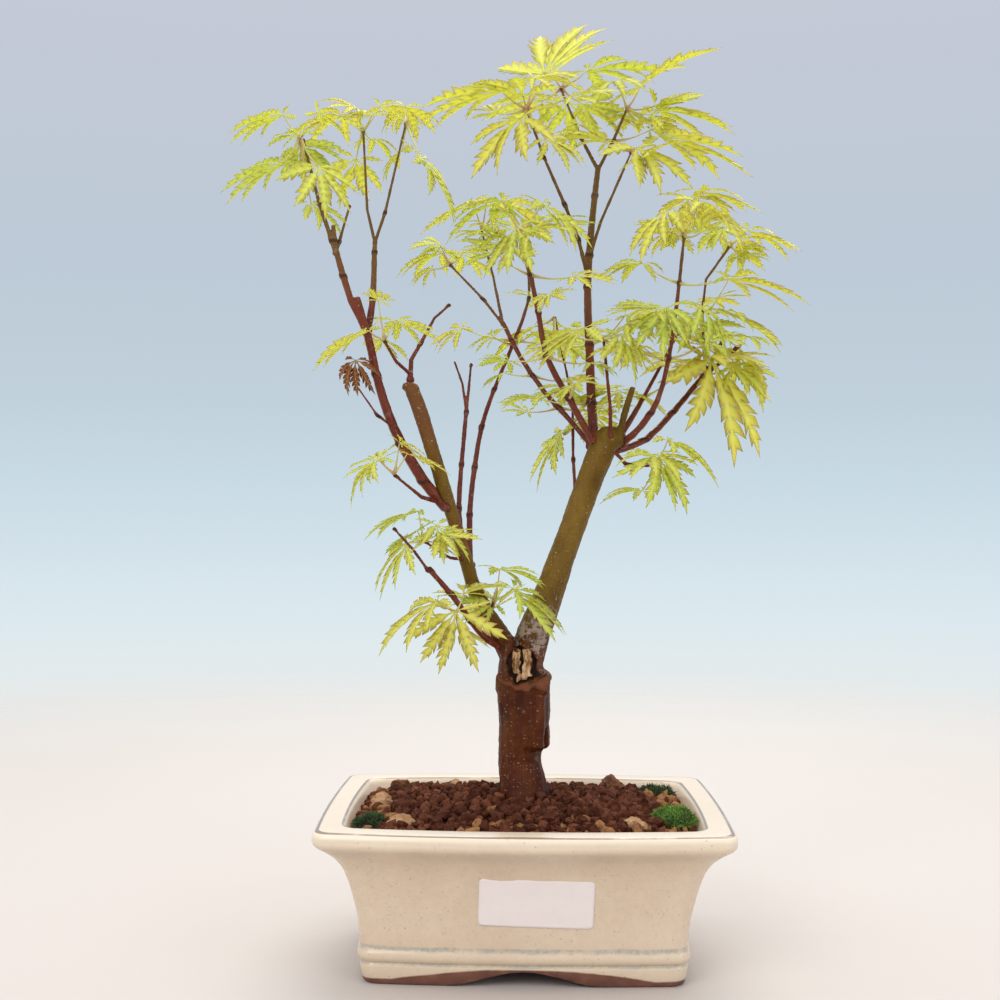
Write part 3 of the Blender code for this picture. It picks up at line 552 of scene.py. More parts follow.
potShape = {
    "rimTop": 70.0,
    "bow": (2.5, 5.0),            # how far a long side stands out, at the foot and the rim
    "innerBow": 4.0,              # the same at the rim's inner edge
    "sideBow": 1.5,
    "steps": (28, 18, 8),         # pieces that a long side, a short side and a corner are made of
    "depthStep": 22.0,            # each half is this much less deep than wide
    "outerCorner": 7.0,
    "innerCorner": 9.0,
    "footInset": 13.0,
    "archHalfWidth": 37.0,
    "archHeight": 7.0,
    "archFlank": 0.2,             # the arch cuts nothing nearer the middle than this part of x
    "underside": 7.5,
    "footRound": 0.8,
    "outerEdge": (69.5, 69.95),   # the glaze is thin between these heights outside the rim
    "innerEdge": (69.4, 69.95),
    "glazeLine": (2.6, 5.6),      # bare clay below this height at the corners, and its rise
    "pools": ((9.6, 1.3, 0.75), (16.2, 1.7, 0.85), (60.5, 4.0, 0.28), (66.8, 1.2, 0.15)),
    # (height, half width) up the outer wall and over the lip
    "outer": ((0.0, 69.8), (0.5, 70.6), (1.4, 71.0), (4.4, 71.6), (7.9, 72.1), (8.8, 72.0),
              (9.4, 71.5), (9.9, 71.5), (10.5, 72.2), (11.4, 72.9), (12.8, 73.2), (14.2, 73.0),
              (15.2, 72.4), (15.9, 71.9), (16.6, 71.9), (18.2, 72.2), (22.0, 72.5), (28.0, 73.0),
              (34.0, 74.2), (40.0, 75.6), (45.0, 76.9), (50.0, 78.6), (53.0, 80.1), (56.0, 82.1),
              (58.4, 84.4), (60.6, 87.0), (62.4, 89.3), (64.0, 90.6), (65.6, 91.0), (67.4, 91.0),
              (68.4, 90.8), (69.1, 90.3), (69.6, 89.6), (69.9, 88.8), (70.0, 87.6)),
    "inner": ((70.0, 80.4), (69.9, 79.8), (69.5, 79.1), (68.8, 78.4), (67.5, 77.8), (60.0, 75.6),
              (52.0, 73.4), (36.0, 70.0), (20.0, 66.8), (12.5, 64.5)),
}


def potRing(z, half, corner, bowAtRim):
    # a rounded rectangle with bowed sides, counter-clockwise from above
    halfDepth = half - potShape["depthStep"]
    flatX = half - corner
    flatY = halfDepth - corner
    low = potShape["bow"][0]
    bow = low + (bowAtRim - low) * z / potShape["rimTop"]
    longSteps, shortSteps, cornerSteps = potShape["steps"]
    ring = []
    for i in range(1, longSteps):
        x = -flatX + 2 * flatX * i / longSteps
        ring.append((x, -halfDepth - bow * (1.0 - (x / flatX) ** 2)))
    for i in range(cornerSteps + 1):
        turn = math.radians(-90 + 90 * i / cornerSteps)
        ring.append((flatX + corner * math.cos(turn), -flatY + corner * math.sin(turn)))
    for i in range(1, shortSteps):
        y = -flatY + 2 * flatY * i / shortSteps
        ring.append((half + potShape["sideBow"] * (1.0 - (y / flatY) ** 2), y))
    for i in range(cornerSteps + 1):
        turn = math.radians(90 * i / cornerSteps)
        ring.append((flatX + corner * math.cos(turn), flatY + corner * math.sin(turn)))
    return [Vector((x, y, z)) * mm for x, y in ring + [(-x, -y) for x, y in ring]]


def archLift(x):
    # how high the foot is cut away at x
    share = min(1.0, abs(x) / (potShape["archHalfWidth"] * mm))
    return potShape["archHeight"] * mm * (0.5 + 0.5 * math.cos(math.pi * share))


def makePot(glaze):
    work = bmesh.new()
    edgeLayer = work.verts.layers.float.new("edge")
    underLayer = work.verts.layers.float.new("under")
    under = potShape["underside"]
    bend = potShape["footRound"]
    insideFoot = potShape["outer"][0][1] - potShape["footInset"]
    profile = [("under", under, insideFoot), ("under", bend, insideFoot)]
    profile += [("under", 0.0, insideFoot + bend)]
    profile += [("outer", z, half) for z, half in potShape["outer"]]
    profile += [("inner", z, half) for z, half in potShape["inner"]]
    loops = []
    for kind, z, half in profile:
        inside = kind == "inner"
        corner = potShape["innerCorner"] if inside else potShape["outerCorner"]
        bow = potShape["innerBow"] if inside else potShape["bow"][1]
        first, last = potShape["innerEdge"] if inside else potShape["outerEdge"]
        onEdge = kind != "under" and first < z < last
        loop = []
        for point in potRing(z, half, corner, bow):
            lift = archLift(point.x)
            beside = abs(point.y) > abs(point.x) * potShape["archFlank"]
            if not inside and beside and lift > point.z:
                point.z = min(lift, under * mm) + 0.02 * point.z
            vert = work.verts.new(point)
            vert[edgeLayer] = (0.8 if inside else 1.0) if onEdge else 0.0
            vert[underLayer] = 1.0 if kind == "under" else 0.0
            loop.append(vert)
        loops.append(loop)
    for lower, upper in zip(loops, loops[1:]):
        for i in range(len(lower)):
            j = (i + 1) % len(lower)
            work.faces.new((lower[i], lower[j], upper[j], upper[i]))
    bottom = work.faces.new(list(reversed(loops[0])))
    top = work.faces.new(loops[-1])
    bmesh.ops.triangulate(work, faces=[bottom, top])
    bmesh.ops.recalc_face_normals(work, faces=work.faces)
    piece = newPiece("glazed_pot_body", work, glaze)
    piece.data.set_sharp_from_angle(angle=math.radians(50))
    return settle(piece, "glazed_pot", "pot")


labelShape = {
    "size": (50.0, 22.0),
    "corner": 2.0,
    "tilt": 1.5,                  # degrees that its right end hangs lower
    "cells": (40, 20),
    "gap": 0.12,                  # from the wall to the back of the paper
    "thickness": 0.14,
}


def makeLabel(paper, potTree):
    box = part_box("label")
    centre = (box[0] + box[1]) / 2
    size = [side * mm for side in labelShape["size"]]
    radius = labelShape["corner"] * mm
    tilt = Matrix.Rotation(math.radians(labelShape["tilt"]), 3, "Y")
    columns, rows = labelShape["cells"]
    work = bmesh.new()
    grid = []
    for row in range(rows + 1):
        line = []
        for column in range(columns + 1):
            x = (column / columns - 0.5) * size[0]
            z = (row / rows - 0.5) * size[1]
            # pull the corners in to a round
            overX = abs(x) - (size[0] / 2 - radius)
            overZ = abs(z) - (size[1] / 2 - radius)
            if overX > 0 and overZ > 0:
                square = max(overX, overZ)
                scale = square / math.hypot(overX, overZ)
                x -= math.copysign(overX * (1 - scale), x)
                z -= math.copysign(overZ * (1 - scale), z)
            spot = tilt @ Vector((x, 0, z)) + Vector((centre.x, 0, centre.z))
            hit = potTree.ray_cast(Vector((spot.x, -0.2, spot.z)), Vector((0, 1, 0)))[0]
            line.append(work.verts.new((spot.x, hit.y - labelShape["gap"] * mm, spot.z)))
        grid.append(line)
    for low, high in zip(grid, grid[1:]):
        for i in range(columns):
            work.faces.new((low[i], low[i + 1], high[i + 1], high[i]))
    piece = newPiece("blank_label", work, paper)
    wall = piece.modifiers.new("paper", "SOLIDIFY")
    wall.thickness = labelShape["thickness"] * mm
    wall.offset = 1.0
    return settle(baked(piece), "sticker", "label")


soilShape = {
    "granule": 5.9,               # across a middling granule
    "spacing": 3.0,
    "topSpacing": 4.6,
    "sizes": (0.42, 1.30),
    "shapes": 9,
    "insets": (0.992, 0.972),     # the two layers, as a part of the soil's width
    "lifts": (-0.6, 1.4),
    "coverGrow": 1.16,            # moss and stones, as a part of their CAD size
    "coverRaise": 1.3,            # stones, above their CAD place
    "bare": 1.05,                 # no granules within this part of a cushion's reach, squared
    "bedRough": 0.9,
    "bedSink": 1.2,               # the bed lies this much under the CAD soil
    "bedTint": 0.2,
    "seed": 5,
}

stoneShape = {
    "flats": 9,                   # broken faces
    "flatDepth": (0.52, 0.88),
    "shave": 0.85,                # how much of what stands past a flat is taken off
    "sharp": 32,                  # degrees
}


def roughStone(seed, radii, detail, depth, frequency):
    # a broken lump: a ball pushed about by noise and shaved by a few flat faces
    dice = random.Random(seed)
    work = bmesh.new()
    bmesh.ops.create_icosphere(work, subdivisions=detail, radius=1.0)
    flats = []
    for _ in range(stoneShape["flats"]):
        way = Vector([dice.uniform(-1, 1) for _ in range(3)]).normalized()
        flats.append((way, dice.uniform(*stoneShape["flatDepth"])))
    shift = Vector([dice.uniform(-40, 40) for _ in range(3)])
    for vert in work.verts:
        point = vert.co.copy()
        point *= 1.0 + depth * noise.noise(point * frequency + shift)
        for way, limit in flats:
            over = point.dot(way) - limit
            if over > 0:
                point -= way * over * stoneShape["shave"]
        point *= 1.0 + depth * 0.45 * noise.noise(point * frequency * 3 + shift)
        vert.co = Vector((point.x * radii[0], point.y * radii[1], point.z * radii[2]))
    bmesh.ops.recalc_face_normals(work, faces=work.faces)
    for face in work.faces:
        face.smooth = True
    for edge in work.edges:
        edge.smooth = edge.calc_face_angle(0.0) < math.radians(stoneShape["sharp"])
    return work


def scatterTree(name):
    # picks shapes from a shelf and lays them over the faces of the piece
    inputs = {"Shapes": "NodeSocketCollection", "Spacing": "NodeSocketFloat", "Size": "NodeSocketFloat",
              "Smallest": "NodeSocketFloat", "Largest": "NodeSocketFloat", "Lift": "NodeSocketFloat",
              "Lean": "NodeSocketFloat", "Seed": "NodeSocketInt", "Material": "NodeSocketMaterial"}
    grow = Growth(name, inputs)
    source = grow.source.outputs["Geometry"]
    spread = grow.node("GeometryNodeDistributePointsOnFaces", {"distribute_method": "POISSON"},
                       {"Mesh": source, "Distance Min": grow.given("Spacing"),
                        "Density Max": 900000.0, "Density Factor": grow.named("open"),
                        "Seed": grow.given("Seed")})
    normal = spread.node.outputs["Normal"]
    upright = grow.node("FunctionNodeAlignRotationToVector", {"axis": "Z"}, {"Vector": normal})
    lean = grow.given("Lean")
    negative = grow.node("ShaderNodeMath", {"operation": "MULTIPLY"}, {0: lean, 1: -1.0})
    low = grow.node("ShaderNodeCombineXYZ", {}, {0: negative, 1: negative, 2: 0.0})
    high = grow.node("ShaderNodeCombineXYZ", {}, {0: lean, 1: lean, 2: math.tau})
    tumble = grow.node("FunctionNodeRandomValue", {"data_type": "FLOAT_VECTOR"},
                       {0: low, 1: high, "Seed": grow.given("Seed")}, out=0)
    turned = grow.node("FunctionNodeRotateRotation", {"rotation_space": "LOCAL"}, {0: upright, 1: tumble})
    scale = grow.node("FunctionNodeRandomValue", {"data_type": "FLOAT"},
                      {2: grow.given("Smallest"), 3: grow.given("Largest"),
                       "Seed": grow.given("Seed")}, out=1)
    size = grow.node("ShaderNodeMath", {"operation": "MULTIPLY"}, {0: scale, 1: grow.given("Size")})
    lift = grow.node("ShaderNodeCombineXYZ", {}, {0: 0.0, 1: 0.0, 2: grow.given("Lift")})
    raised = grow.node("GeometryNodeSetPosition", {}, {0: spread, "Offset": lift})
    tint = grow.node("FunctionNodeRandomValue", {"data_type": "FLOAT"}, {2: 0.0, 3: 1.0, "Seed": 77}, out=1)
    tinted = grow.node("GeometryNodeStoreNamedAttribute", {"data_type": "FLOAT", "domain": "POINT"},
                       {0: raised, "Name": "tint", "Value": tint})
    shapes = grow.node("GeometryNodeCollectionInfo", {}, {0: grow.given("Shapes"), 1: True, 2: True})
    pick = grow.node("FunctionNodeRandomValue", {"data_type": "INT"}, {4: 0, 5: 999, "Seed": 31}, out=2)
    laid = grow.node("GeometryNodeInstanceOnPoints", {},
                     {"Points": tinted, "Instance": shapes, "Pick Instance": True, "Instance Index": pick,
                      "Rotation": turned, "Scale": size})
    grow.finish(laid, grow.given("Material"))
    return grow


def longEdges(work, length):
    return [edge for edge in work.edges if edge.calc_length() > length * mm]


def soilTop(inset, cushions):
    # the upper faces of the soil, open to granules except under the given moss and stones
    work = cadMesh("soil")
    steep = [face for face in work.faces if face.normal.z < 0.5]
    bmesh.ops.delete(work, geom=steep, context="FACES")
    for _ in range(3):
        bmesh.ops.subdivide_edges(work, edges=longEdges(work, 3), cuts=1)
        bmesh.ops.triangulate(work, faces=work.faces)
    centre = sum(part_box("soil"), Vector()) / 2
    openLayer = work.verts.layers.float.new("open")
    for vert in work.verts:
        vert.co.x = centre.x + (vert.co.x - centre.x) * inset
        vert.co.y = centre.y + (vert.co.y - centre.y) * inset
        vert[openLayer] = 1.0
        for low, high in cushions:
            away = vert.co - (low + high) / 2
            reach = (high - low) / 2
            if (away.x / reach.x) ** 2 + (away.y / reach.y) ** 2 < soilShape["bare"]:
                vert[openLayer] = 0.0
    return work


def makeSoil(clay, scatter):
    bed = cadMesh("soil")
    bmesh.ops.subdivide_edges(bed, edges=longEdges(bed, 6), cuts=3, use_grid_fill=True)
    bmesh.ops.triangulate(bed, faces=bed.faces)
    for vert in bed.verts:
        if vert.co.z > 60 * mm:
            vert.co.z += soilShape["bedRough"] * mm * noise.noise(vert.co * 300) - soilShape["bedSink"] * mm
    bedPiece = settle(newPiece("soil_bed", bed, clay), "soil_granules", "soil")
    setAttribute(bedPiece.data, "tint", [soilShape["bedTint"]] * len(bedPiece.data.vertices))
    shapes = shelf("granuleShapes", [roughStone(40 + number, (0.54, 0.46, 0.42), 2, 0.62, 1.9)
                                     for number in range(soilShape["shapes"])])
    smallest, largest = soilShape["sizes"]
    cushions = [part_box(name) for name in nodes if name.startswith(("moss_", "stone_"))]
    # the lower layer runs on under the cushions, the upper one stops at them
    layers = zip(("granules_bed", "granules_top"), (soilShape["spacing"], soilShape["topSpacing"]),
                 soilShape["insets"], soilShape["lifts"], ([], cushions))
    for number, (name, spacing, inset, lift, covered) in enumerate(layers):
        piece = newPiece(name, soilTop(inset, covered), clay)
        scatter.growOn(piece, {"Shapes": shapes, "Spacing": spacing * mm, "Size": soilShape["granule"] * mm,
                               "Smallest": smallest, "Largest": largest, "Lift": lift * mm, "Lean": math.pi,
                               "Seed": soilShape["seed"] + number, "Material": clay})
        settle(piece, "soil_granules", "soil")
        print(name, len(piece.data.polygons), "faces")
    clearShelf(shapes)


def makeStones(tones):
    for number, name in enumerate(sorted(n for n in nodes if n.startswith("stone_"))):
        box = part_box(name)
        centre = (box[0] + box[1]) / 2
        radii = (box[1] - box[0]) / 2
        work = roughStone(90 + number * 7, radii * soilShape["coverGrow"], 4, 0.34, 1.6)
        raised = centre + Vector((0, 0, soilShape["coverRaise"] * mm))
        bmesh.ops.translate(work, vec=raised, verts=work.verts)
        dark = "dark" in name or "brown" in name
        piece = newPiece("rough_" + name, work, tones["dark" if dark else "tan"])
        settle(piece, "dark_stone" if dark else "pale_stone", name)


mossShape = {
    "spacing": 0.66,
    "bladeLength": 2.3,
    "bladeWidth": 0.30,
    "sizes": (0.6, 1.25),
    "lean": 0.45,
    "raise": 1.2,
    "lumps": 1.9,
    "cushionTip": 0.12,           # how light the cushion under its blades is; its low value paints it dark, as shade
    "seed": 3,
}


def mossTuft(seed):
    # three thin leaning blades, each a closed spike
    dice = random.Random(seed)
    work = bmesh.new()
    tip = work.verts.layers.float.new("tip")
    for _ in range(3):
        way = dice.uniform(0, math.tau)
        lean = dice.uniform(0.15, 0.75)
        foot = Vector((math.cos(way), math.sin(way), 0)) * 0.12
        base = []
        for i in range(3):
            turn = way + math.tau * i / 3
            corner = Vector((math.cos(turn), math.sin(turn), 0)) * mossShape["bladeWidth"] * 0.5
            vert = work.verts.new(foot + corner)
            vert[tip] = 0.0
            base.append(vert)
        rise = Vector((math.cos(way) * lean, math.sin(way) * lean, dice.uniform(0.7, 1.0)))
        top = work.verts.new(foot + rise)
        top[tip] = 1.0
        work.faces.new(list(reversed(base)))
        for i in range(3):
            work.faces.new((base[i], base[(i + 1) % 3], top))
    bmesh.ops.recalc_face_normals(work, faces=work.faces)
    return work


def makeMoss(materials, scatter):
    shapes = shelf("mossTufts", [mossTuft(seed) for seed in range(5)])
    for name in sorted(n for n in nodes if n.startswith("moss_")):
        bright = name == "moss_bright"
        material = materials["bright" if bright else "dark"]
        slot = "bright_moss" if bright else "dark_moss"
        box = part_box(name)
        centre = (box[0] + box[1]) / 2
        cushion = cadMesh(name)
        bmesh.ops.subdivide_edges(cushion, edges=cushion.edges, cuts=2, use_grid_fill=True)
        bmesh.ops.triangulate(cushion, faces=cushion.faces)
        for vert in cushion.verts:
            away = (vert.co - centre).normalized()
            vert.co = centre + (vert.co - centre) * soilShape["coverGrow"]
            vert.co.z += mossShape["raise"] * mm
            vert.co += away * (mossShape["lumps"] * mm * noise.noise(vert.co * 230) - 0.4 * mm)
        tufted = cushion.copy()
        body = newPiece(name + "_cushion", cushion, material)
        # the low tip value paints the cushion dark, as shade under the blades
        setAttribute(body.data, "tip", [mossShape["cushionTip"]] * len(body.data.vertices))
        settle(body, slot, name)
        hidden = [face for face in tufted.faces if face.normal.z < -0.15]
        bmesh.ops.delete(tufted, geom=hidden, context="FACES")
        piece = newPiece(name + "_tufts", tufted, material)
        setAttribute(piece.data, "open", [1.0] * len(piece.data.vertices))
        smallest, largest = mossShape["sizes"]
        scatter.growOn(piece, {"Shapes": shapes, "Spacing": mossShape["spacing"] * mm,
                               "Size": mossShape["bladeLength"] * mm, "Smallest": smallest,
                               "Largest": largest, "Lift": 0.0, "Lean": mossShape["lean"],
                               "Seed": mossShape["seed"], "Material": material})
        settle(piece, slot, name)
        print(piece.name, len(piece.data.polygons), "faces")
    clearShelf(shapes)


trunkShape = {
    "forkHeight": 140.0,
    "voxel": 0.72,
    "hollow": ((-1.6, 135.0), (7.6, 9.4)),   # middle and half size of the old cut on the front
    "splinters": ((-5.8, -2.4, 131.0, 142.6), (-1.0, 2.8, 129.8, 143.0), (-3.6, 0.4, 128.0, 131.6)),
    "hollowDepth": 2.4,
    "callus": (124.8, 0.034),     # height of the swollen line under the cut, and how it curls up
    "shoulder": (96.0, 131.0),    # the right side stands out between these heights
    "shoulderX": 11.6,
    "ridges": 0.6,
    "axis": (-1.5, 3.0),
    "rootSwell": 1.1,
    "callusSwell": 0.9,
    "smallestCut": 1.0,
    "cutsAbove": 100.0,
}


def within(value, low, high, soft):
    return smoothStep(value, low - soft, low + soft) * (1.0 - smoothStep(value, high - soft, high + soft))


def oldCut(point):
    # the torn hollow, its pale splinters and the callus under it
    (middleX, middleZ), (halfX, halfZ) = trunkShape["hollow"]
    x = point.x / mm + 1.0 * noise.noise(point * 430)
    z = point.z / mm + 1.5 * noise.noise(point * 390 + Vector((7, 0, 0)))
    away = math.hypot((x - middleX) / halfX, (z - middleZ) / halfZ)
    hollow = 1.0 - smoothStep(away, 0.82, 1.0)
    pale = max(within(x, left, right, 0.4) * within(z, low, high, 0.6)
               for left, right, low, high in trunkShape["splinters"])
    height, curl = trunkShape["callus"]
    line = height + curl * (x - middleX) ** 2
    return hollow, pale, within(z, line - 1.2, line + 1.2, 0.8)


def cutEnds(work, smallest):
    # flat ends of pruned branches: many-sided faces once the flat parts are joined
    flat = work.copy()
    bmesh.ops.dissolve_limit(flat, angle_limit=math.radians(1.0), verts=flat.verts, edges=flat.edges)
    ends = []
    for face in flat.faces:
        area = face.calc_area()
        radius = math.sqrt(area / math.pi)
        roundness = face.calc_perimeter() ** 2 / (4 * math.pi * area) if area else 9.0
        if len(face.verts) >= 7 and radius > smallest and roundness < 1.15:
            ends.append((face.calc_center_median(), radius))
    flat.free()
    return ends


def nearEnd(point, ends, reach):
    best = 0.0
    for centre, radius in ends:
        best = max(best, 1.0 - smoothStep((point - centre).length, radius * 1.05, radius * 1.05 + reach))
    return best


def makeTrunk(bark):
    work = cadMesh("trunk")
    ends = [end for end in cutEnds(work, trunkShape["smallestCut"] * mm)
            if end[0].z > trunkShape["cutsAbove"] * mm]
    piece = remeshed(newPiece("trunk_bark", work, bark), trunkShape["voxel"] * mm, 5)
    mesh = piece.data
    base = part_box("trunk")[0]
    wounds, hollowShades, callus, cuts = [], [], [], []
    axis = Vector((*trunkShape["axis"], 0.0)) * mm
    normals = [vert.normal.copy() for vert in mesh.vertices]
    for vert, normal in zip(mesh.vertices, normals):
        point = vert.co.copy()
        onTrunk = 1.0 - smoothStep(point.z, 128 * mm, 146 * mm)
        # long shallow ridges on the trunk, finer ones on the limbs
        tall = Vector((point.x * 260, point.y * 260, point.z * 55))
        push = noise.noise(tall) * trunkShape["ridges"] * mm * (0.35 + 0.65 * onTrunk)
        push += noise.noise(point * 520) * 0.16 * mm
        push += noise.noise(point * 130 + Vector((9, 4, 1))) * 0.55 * mm * (0.3 + 0.7 * onTrunk)
        # roots swell where the trunk meets the soil
        around = math.atan2(point.y - axis.y, point.x - axis.x)
        foot = 1.0 - smoothStep(point.z, 70 * mm, 88 * mm)
        lobes = math.sin(around * 3 + 0.7) * smoothStep(point.z, base.z, 66 * mm)
        push += foot * trunkShape["rootSwell"] * mm * lobes
        front = smoothStep(-normal.y, 0.05, 0.45) if point.z < 150 * mm else 0.0
        # the right side is a straight wall under the fork and steps in below it
        low, high = trunkShape["shoulder"]
        window = within(point.z, low * mm, high * mm, 1.6 * mm) * smoothStep(normal.x, 0.10, 0.80)
        push += max(0.0, trunkShape["shoulderX"] * mm - point.x) * window
        hollow, pale, ridge = (part * front for part in oldCut(point))
        push += ridge * trunkShape["callusSwell"] * mm
        torn = noise.noise(Vector((point.x * 900, 0, point.z * 260)))
        sink = hollow * (trunkShape["hollowDepth"] - pale * 1.5 + torn * 0.9) * mm
        vert.co = point + normal * push + Vector((0, sink, 0))
        wounds.append(hollow * pale)
        # painted shade in the deep part of the hollow, round the pale splinters
        hollowShades.append(hollow * (1.0 - pale))
        callus.append(ridge)
        cuts.append(nearEnd(point, ends, 2.2 * mm))
    setAttribute(mesh, "wound", wounds)
    setAttribute(mesh, "scar", hollowShades)
    setAttribute(mesh, "ridge", callus)
    setAttribute(mesh, "cut", cuts)
    print("trunk", len(mesh.polygons), "faces,", len(ends), "cut ends")
    return settle(piece, "bark", "trunk")


shootShape = {
    "jointGap": 17.0,             # between two joints of a shoot
    "jointReach": 4.0,            # corners this near a spot belong to its ring
    "jointSwell": 0.40,
    "voxel": 0.42,
    "smallestCut": 0.95,
    "collarGap": 1.2,             # a shoot this near the trunk gets a collar
    "collarReach": 5.5,
    "collarRadius": (1.2, 2.6),
    "collarShare": 0.62,
}


def jointsOf(work):
    # middles of the places along a shoot where it once carried leaves
    spots = []
    for vert in sorted(work.verts, key=lambda vert: (round(vert.co.z, 6), round(vert.co.x, 6))):
        if all((vert.co - spot).length > shootShape["jointGap"] * mm for spot in spots):
            reach = shootShape["jointReach"] * mm
            ring = [other.co for other in work.verts if (other.co - vert.co).length < reach]
            spots.append(sum(ring, Vector()) / len(ring))
    return spots[1:]


def makeShoots(youngBark, trunkTree):
    thinnest, thickest = (radius * mm for radius in shootShape["collarRadius"])
    reach = shootShape["jointReach"] * mm
    for number, name in enumerate(shoots):
        work = cadMesh(name)
        ends = cutEnds(work, shootShape["smallestCut"] * mm)
        joints = jointsOf(work)
        # a swollen collar closes the gap where the shoot leaves older wood
        closest = min(work.verts, key=lambda vert: trunkTree.find_nearest(vert.co)[3])
        where, _, _, gap = trunkTree.find_nearest(closest.co)
        if gap < shootShape["collarGap"] * mm:
            ring = [vert.co for vert in work.verts
                    if (vert.co - closest.co).length < shootShape["collarReach"] * mm]
            middle = sum(ring, Vector()) / len(ring)
            width = max((co - middle).length for co in ring) * shootShape["collarShare"]
            spread = max(thinnest, min(thickest, width))
            bmesh.ops.create_icosphere(work, subdivisions=2, radius=spread,
                                       matrix=Matrix.Translation((middle + where) / 2))
            ends = [end for end in ends if (end[0] - where).length > reach]
        piece = remeshed(newPiece(name + "_bark", work, youngBark), shootShape["voxel"] * mm, 3)
        cuts, rings = [], []
        for vert in piece.data.vertices:
            point = vert.co.copy()
            near = [abs(point.z - spot.z) for spot in joints if (point - spot).length < reach]
            away = min(near, default=9 * mm)
            swell = noise.noise(point * 210 + Vector((number, 0, 0))) * 0.16 * mm
            swell += noise.noise(point * 900) * 0.05 * mm
            swell += (1.0 - smoothStep(away, 0.3 * mm, 2.0 * mm)) * shootShape["jointSwell"] * mm
            vert.co = point + vert.normal * swell
            cuts.append(nearEnd(point, ends, 1.8 * mm))
            rings.append(1.0 - smoothStep(away, 0.4 * mm, 1.1 * mm))
        setAttribute(piece.data, "cut", cuts)
        setAttribute(piece.data, "joint", rings)
        settle(piece, "young_bark", name)
    print("shoots", len(shoots))


leafShape = {
    "lobes": ((0, 1.0, 5), (30, 0.96, 5), (-30, 0.96, 5), (62, 0.82, 4), (-62, 0.82, 4), (106, 0.52, 3),
              (-106, 0.52, 3)),   # angle from the middle lobe, length, teeth on each side
    "width": 0.120,               # half width of a lobe over its teeth
    "notch": 0.34,                # width between two teeth, as a part of the width at a tooth
    "shoulder": 0.82,             # the same where a tooth bends forward
    "stem": 0.013,                # half width where a lobe leaves the hub
    "toothReach": 0.130,          # how far a tooth points forward
    "teethZone": (0.20, 0.82),    # the part of a lobe that carries teeth
    "droop": (0.02, 0.27),        # from the first shape to the last
    "stiff": 3,                   # the first shapes, for leaves that point up
    "fold": 0.30,
    "rib": 0.010,
    "shapes": 12,
    "seed": 200,
    "curled": (1.15, 1.25),       # droop and fold of the dead leaf
    "curledSeed": 300,
}


def lobeRows(teeth):
    # stations along a lobe: share of its length, half width, forward reach, rib value
    first, last = leafShape["teethZone"]
    step = (last - first) / teeth
    rows = [(0.05, leafShape["stem"], 0.0, 0.45), (0.15, leafShape["stem"] * 1.3, 0.0, 0.5)]
    for tooth in range(teeth):
        start = first + step * tooth
        middle = (start + step * 0.5 - first) / (last - first)
        width = leafShape["width"] * (0.25 + 0.75 * math.sin(math.pi * (0.14 + middle * 0.78)))
        reach = leafShape["toothReach"] * (0.5 + 0.5 * width / leafShape["width"])
        rows.append((start, width * leafShape["notch"], 0.0, 0.5))
        rows.append((start + step * 0.28, width * leafShape["shoulder"], reach * 0.3, 0.8))
        rows.append((start + step * 0.55, width, reach, 1.0))
    rows.append((last + 0.02, 0.034, 0.0, 0.7))
    rows.append((0.92, 0.018, 0.0, 0.85))
    return rows


def leafBlade(seed, droop, fold):
    # every lobe is a closed lens: a folded upper skin, a lower skin, and a shared toothed rim
    dice = random.Random(seed)
    work = bmesh.new()
    ribLayer = work.verts.layers.float.new("rib")
    alongLayer = work.verts.layers.float.new("along")
    for angle, reach, teeth in leafShape["lobes"]:
        turn = math.radians(angle + dice.uniform(-6, 6))
        ahead = Vector((math.cos(turn), math.sin(turn), 0))
        side = Vector((-math.sin(turn), math.cos(turn), 0))
        length = reach * dice.uniform(0.88, 1.06)
        bend = dice.uniform(-0.12, 0.12)
        fall = droop * dice.uniform(0.6, 1.5)
        rise = dice.uniform(0.0, 0.10)
        twist = dice.uniform(-0.5, 0.5)
        girth = dice.uniform(0.85, 1.15) * reach ** 0.25

        def spot(share, across, depth):
            lift = rise * math.sin(math.pi * share * 0.8) - fall * share ** 1.9
            tilt = twist * share
            width = side * math.cos(tilt) + Vector((0, 0, 1)) * math.sin(tilt)
            up = Vector((0, 0, 1)) * math.cos(tilt) - side * math.sin(tilt)
            path = ahead * share * (1.0 - 0.35 * fall * share) + side * bend * share * share
            return (path + Vector((0, 0, lift))) * length + (width * across + up * depth) * length

        def corner(share, across, depth, rib):
            vert = work.verts.new(spot(share, across, depth))
            vert[ribLayer] = rib
            vert[alongLayer] = share * reach
            return vert

        start = corner(0.0, 0.0, 0.0, 0.0)
        tip = corner(1.0, 0.0, 0.0, 1.0)
        rings = []
        for share, width, forward, rib in lobeRows(teeth):
            width *= girth
            uneven = dice.uniform(0.80, 1.20)
            lift = fold * width
            thick = leafShape["rib"] * (1.0 - share * 0.6)
            left = corner(share + forward, width * uneven, lift, rib)
            right = corner(share + forward, -width * (2.0 - uneven), lift, rib)
            upper = corner(share, 0.0, thick * 0.4, 0.0)
            lower = corner(share, 0.0, -thick, 0.0)
            rings.append((left, upper, right, lower))
        for first, second in zip(rings, rings[1:]):
            for i in range(4):
                j = (i + 1) % 4
                work.faces.new((first[i], first[j], second[j], second[i]))
        for i in range(4):
            work.faces.new((start, rings[0][(i + 1) % 4], rings[0][i]))
            work.faces.new((tip, rings[-1][i], rings[-1][(i + 1) % 4]))
    bmesh.ops.recalc_face_normals(work, faces=work.faces)
    for face in work.faces:
        face.smooth = True
    return work


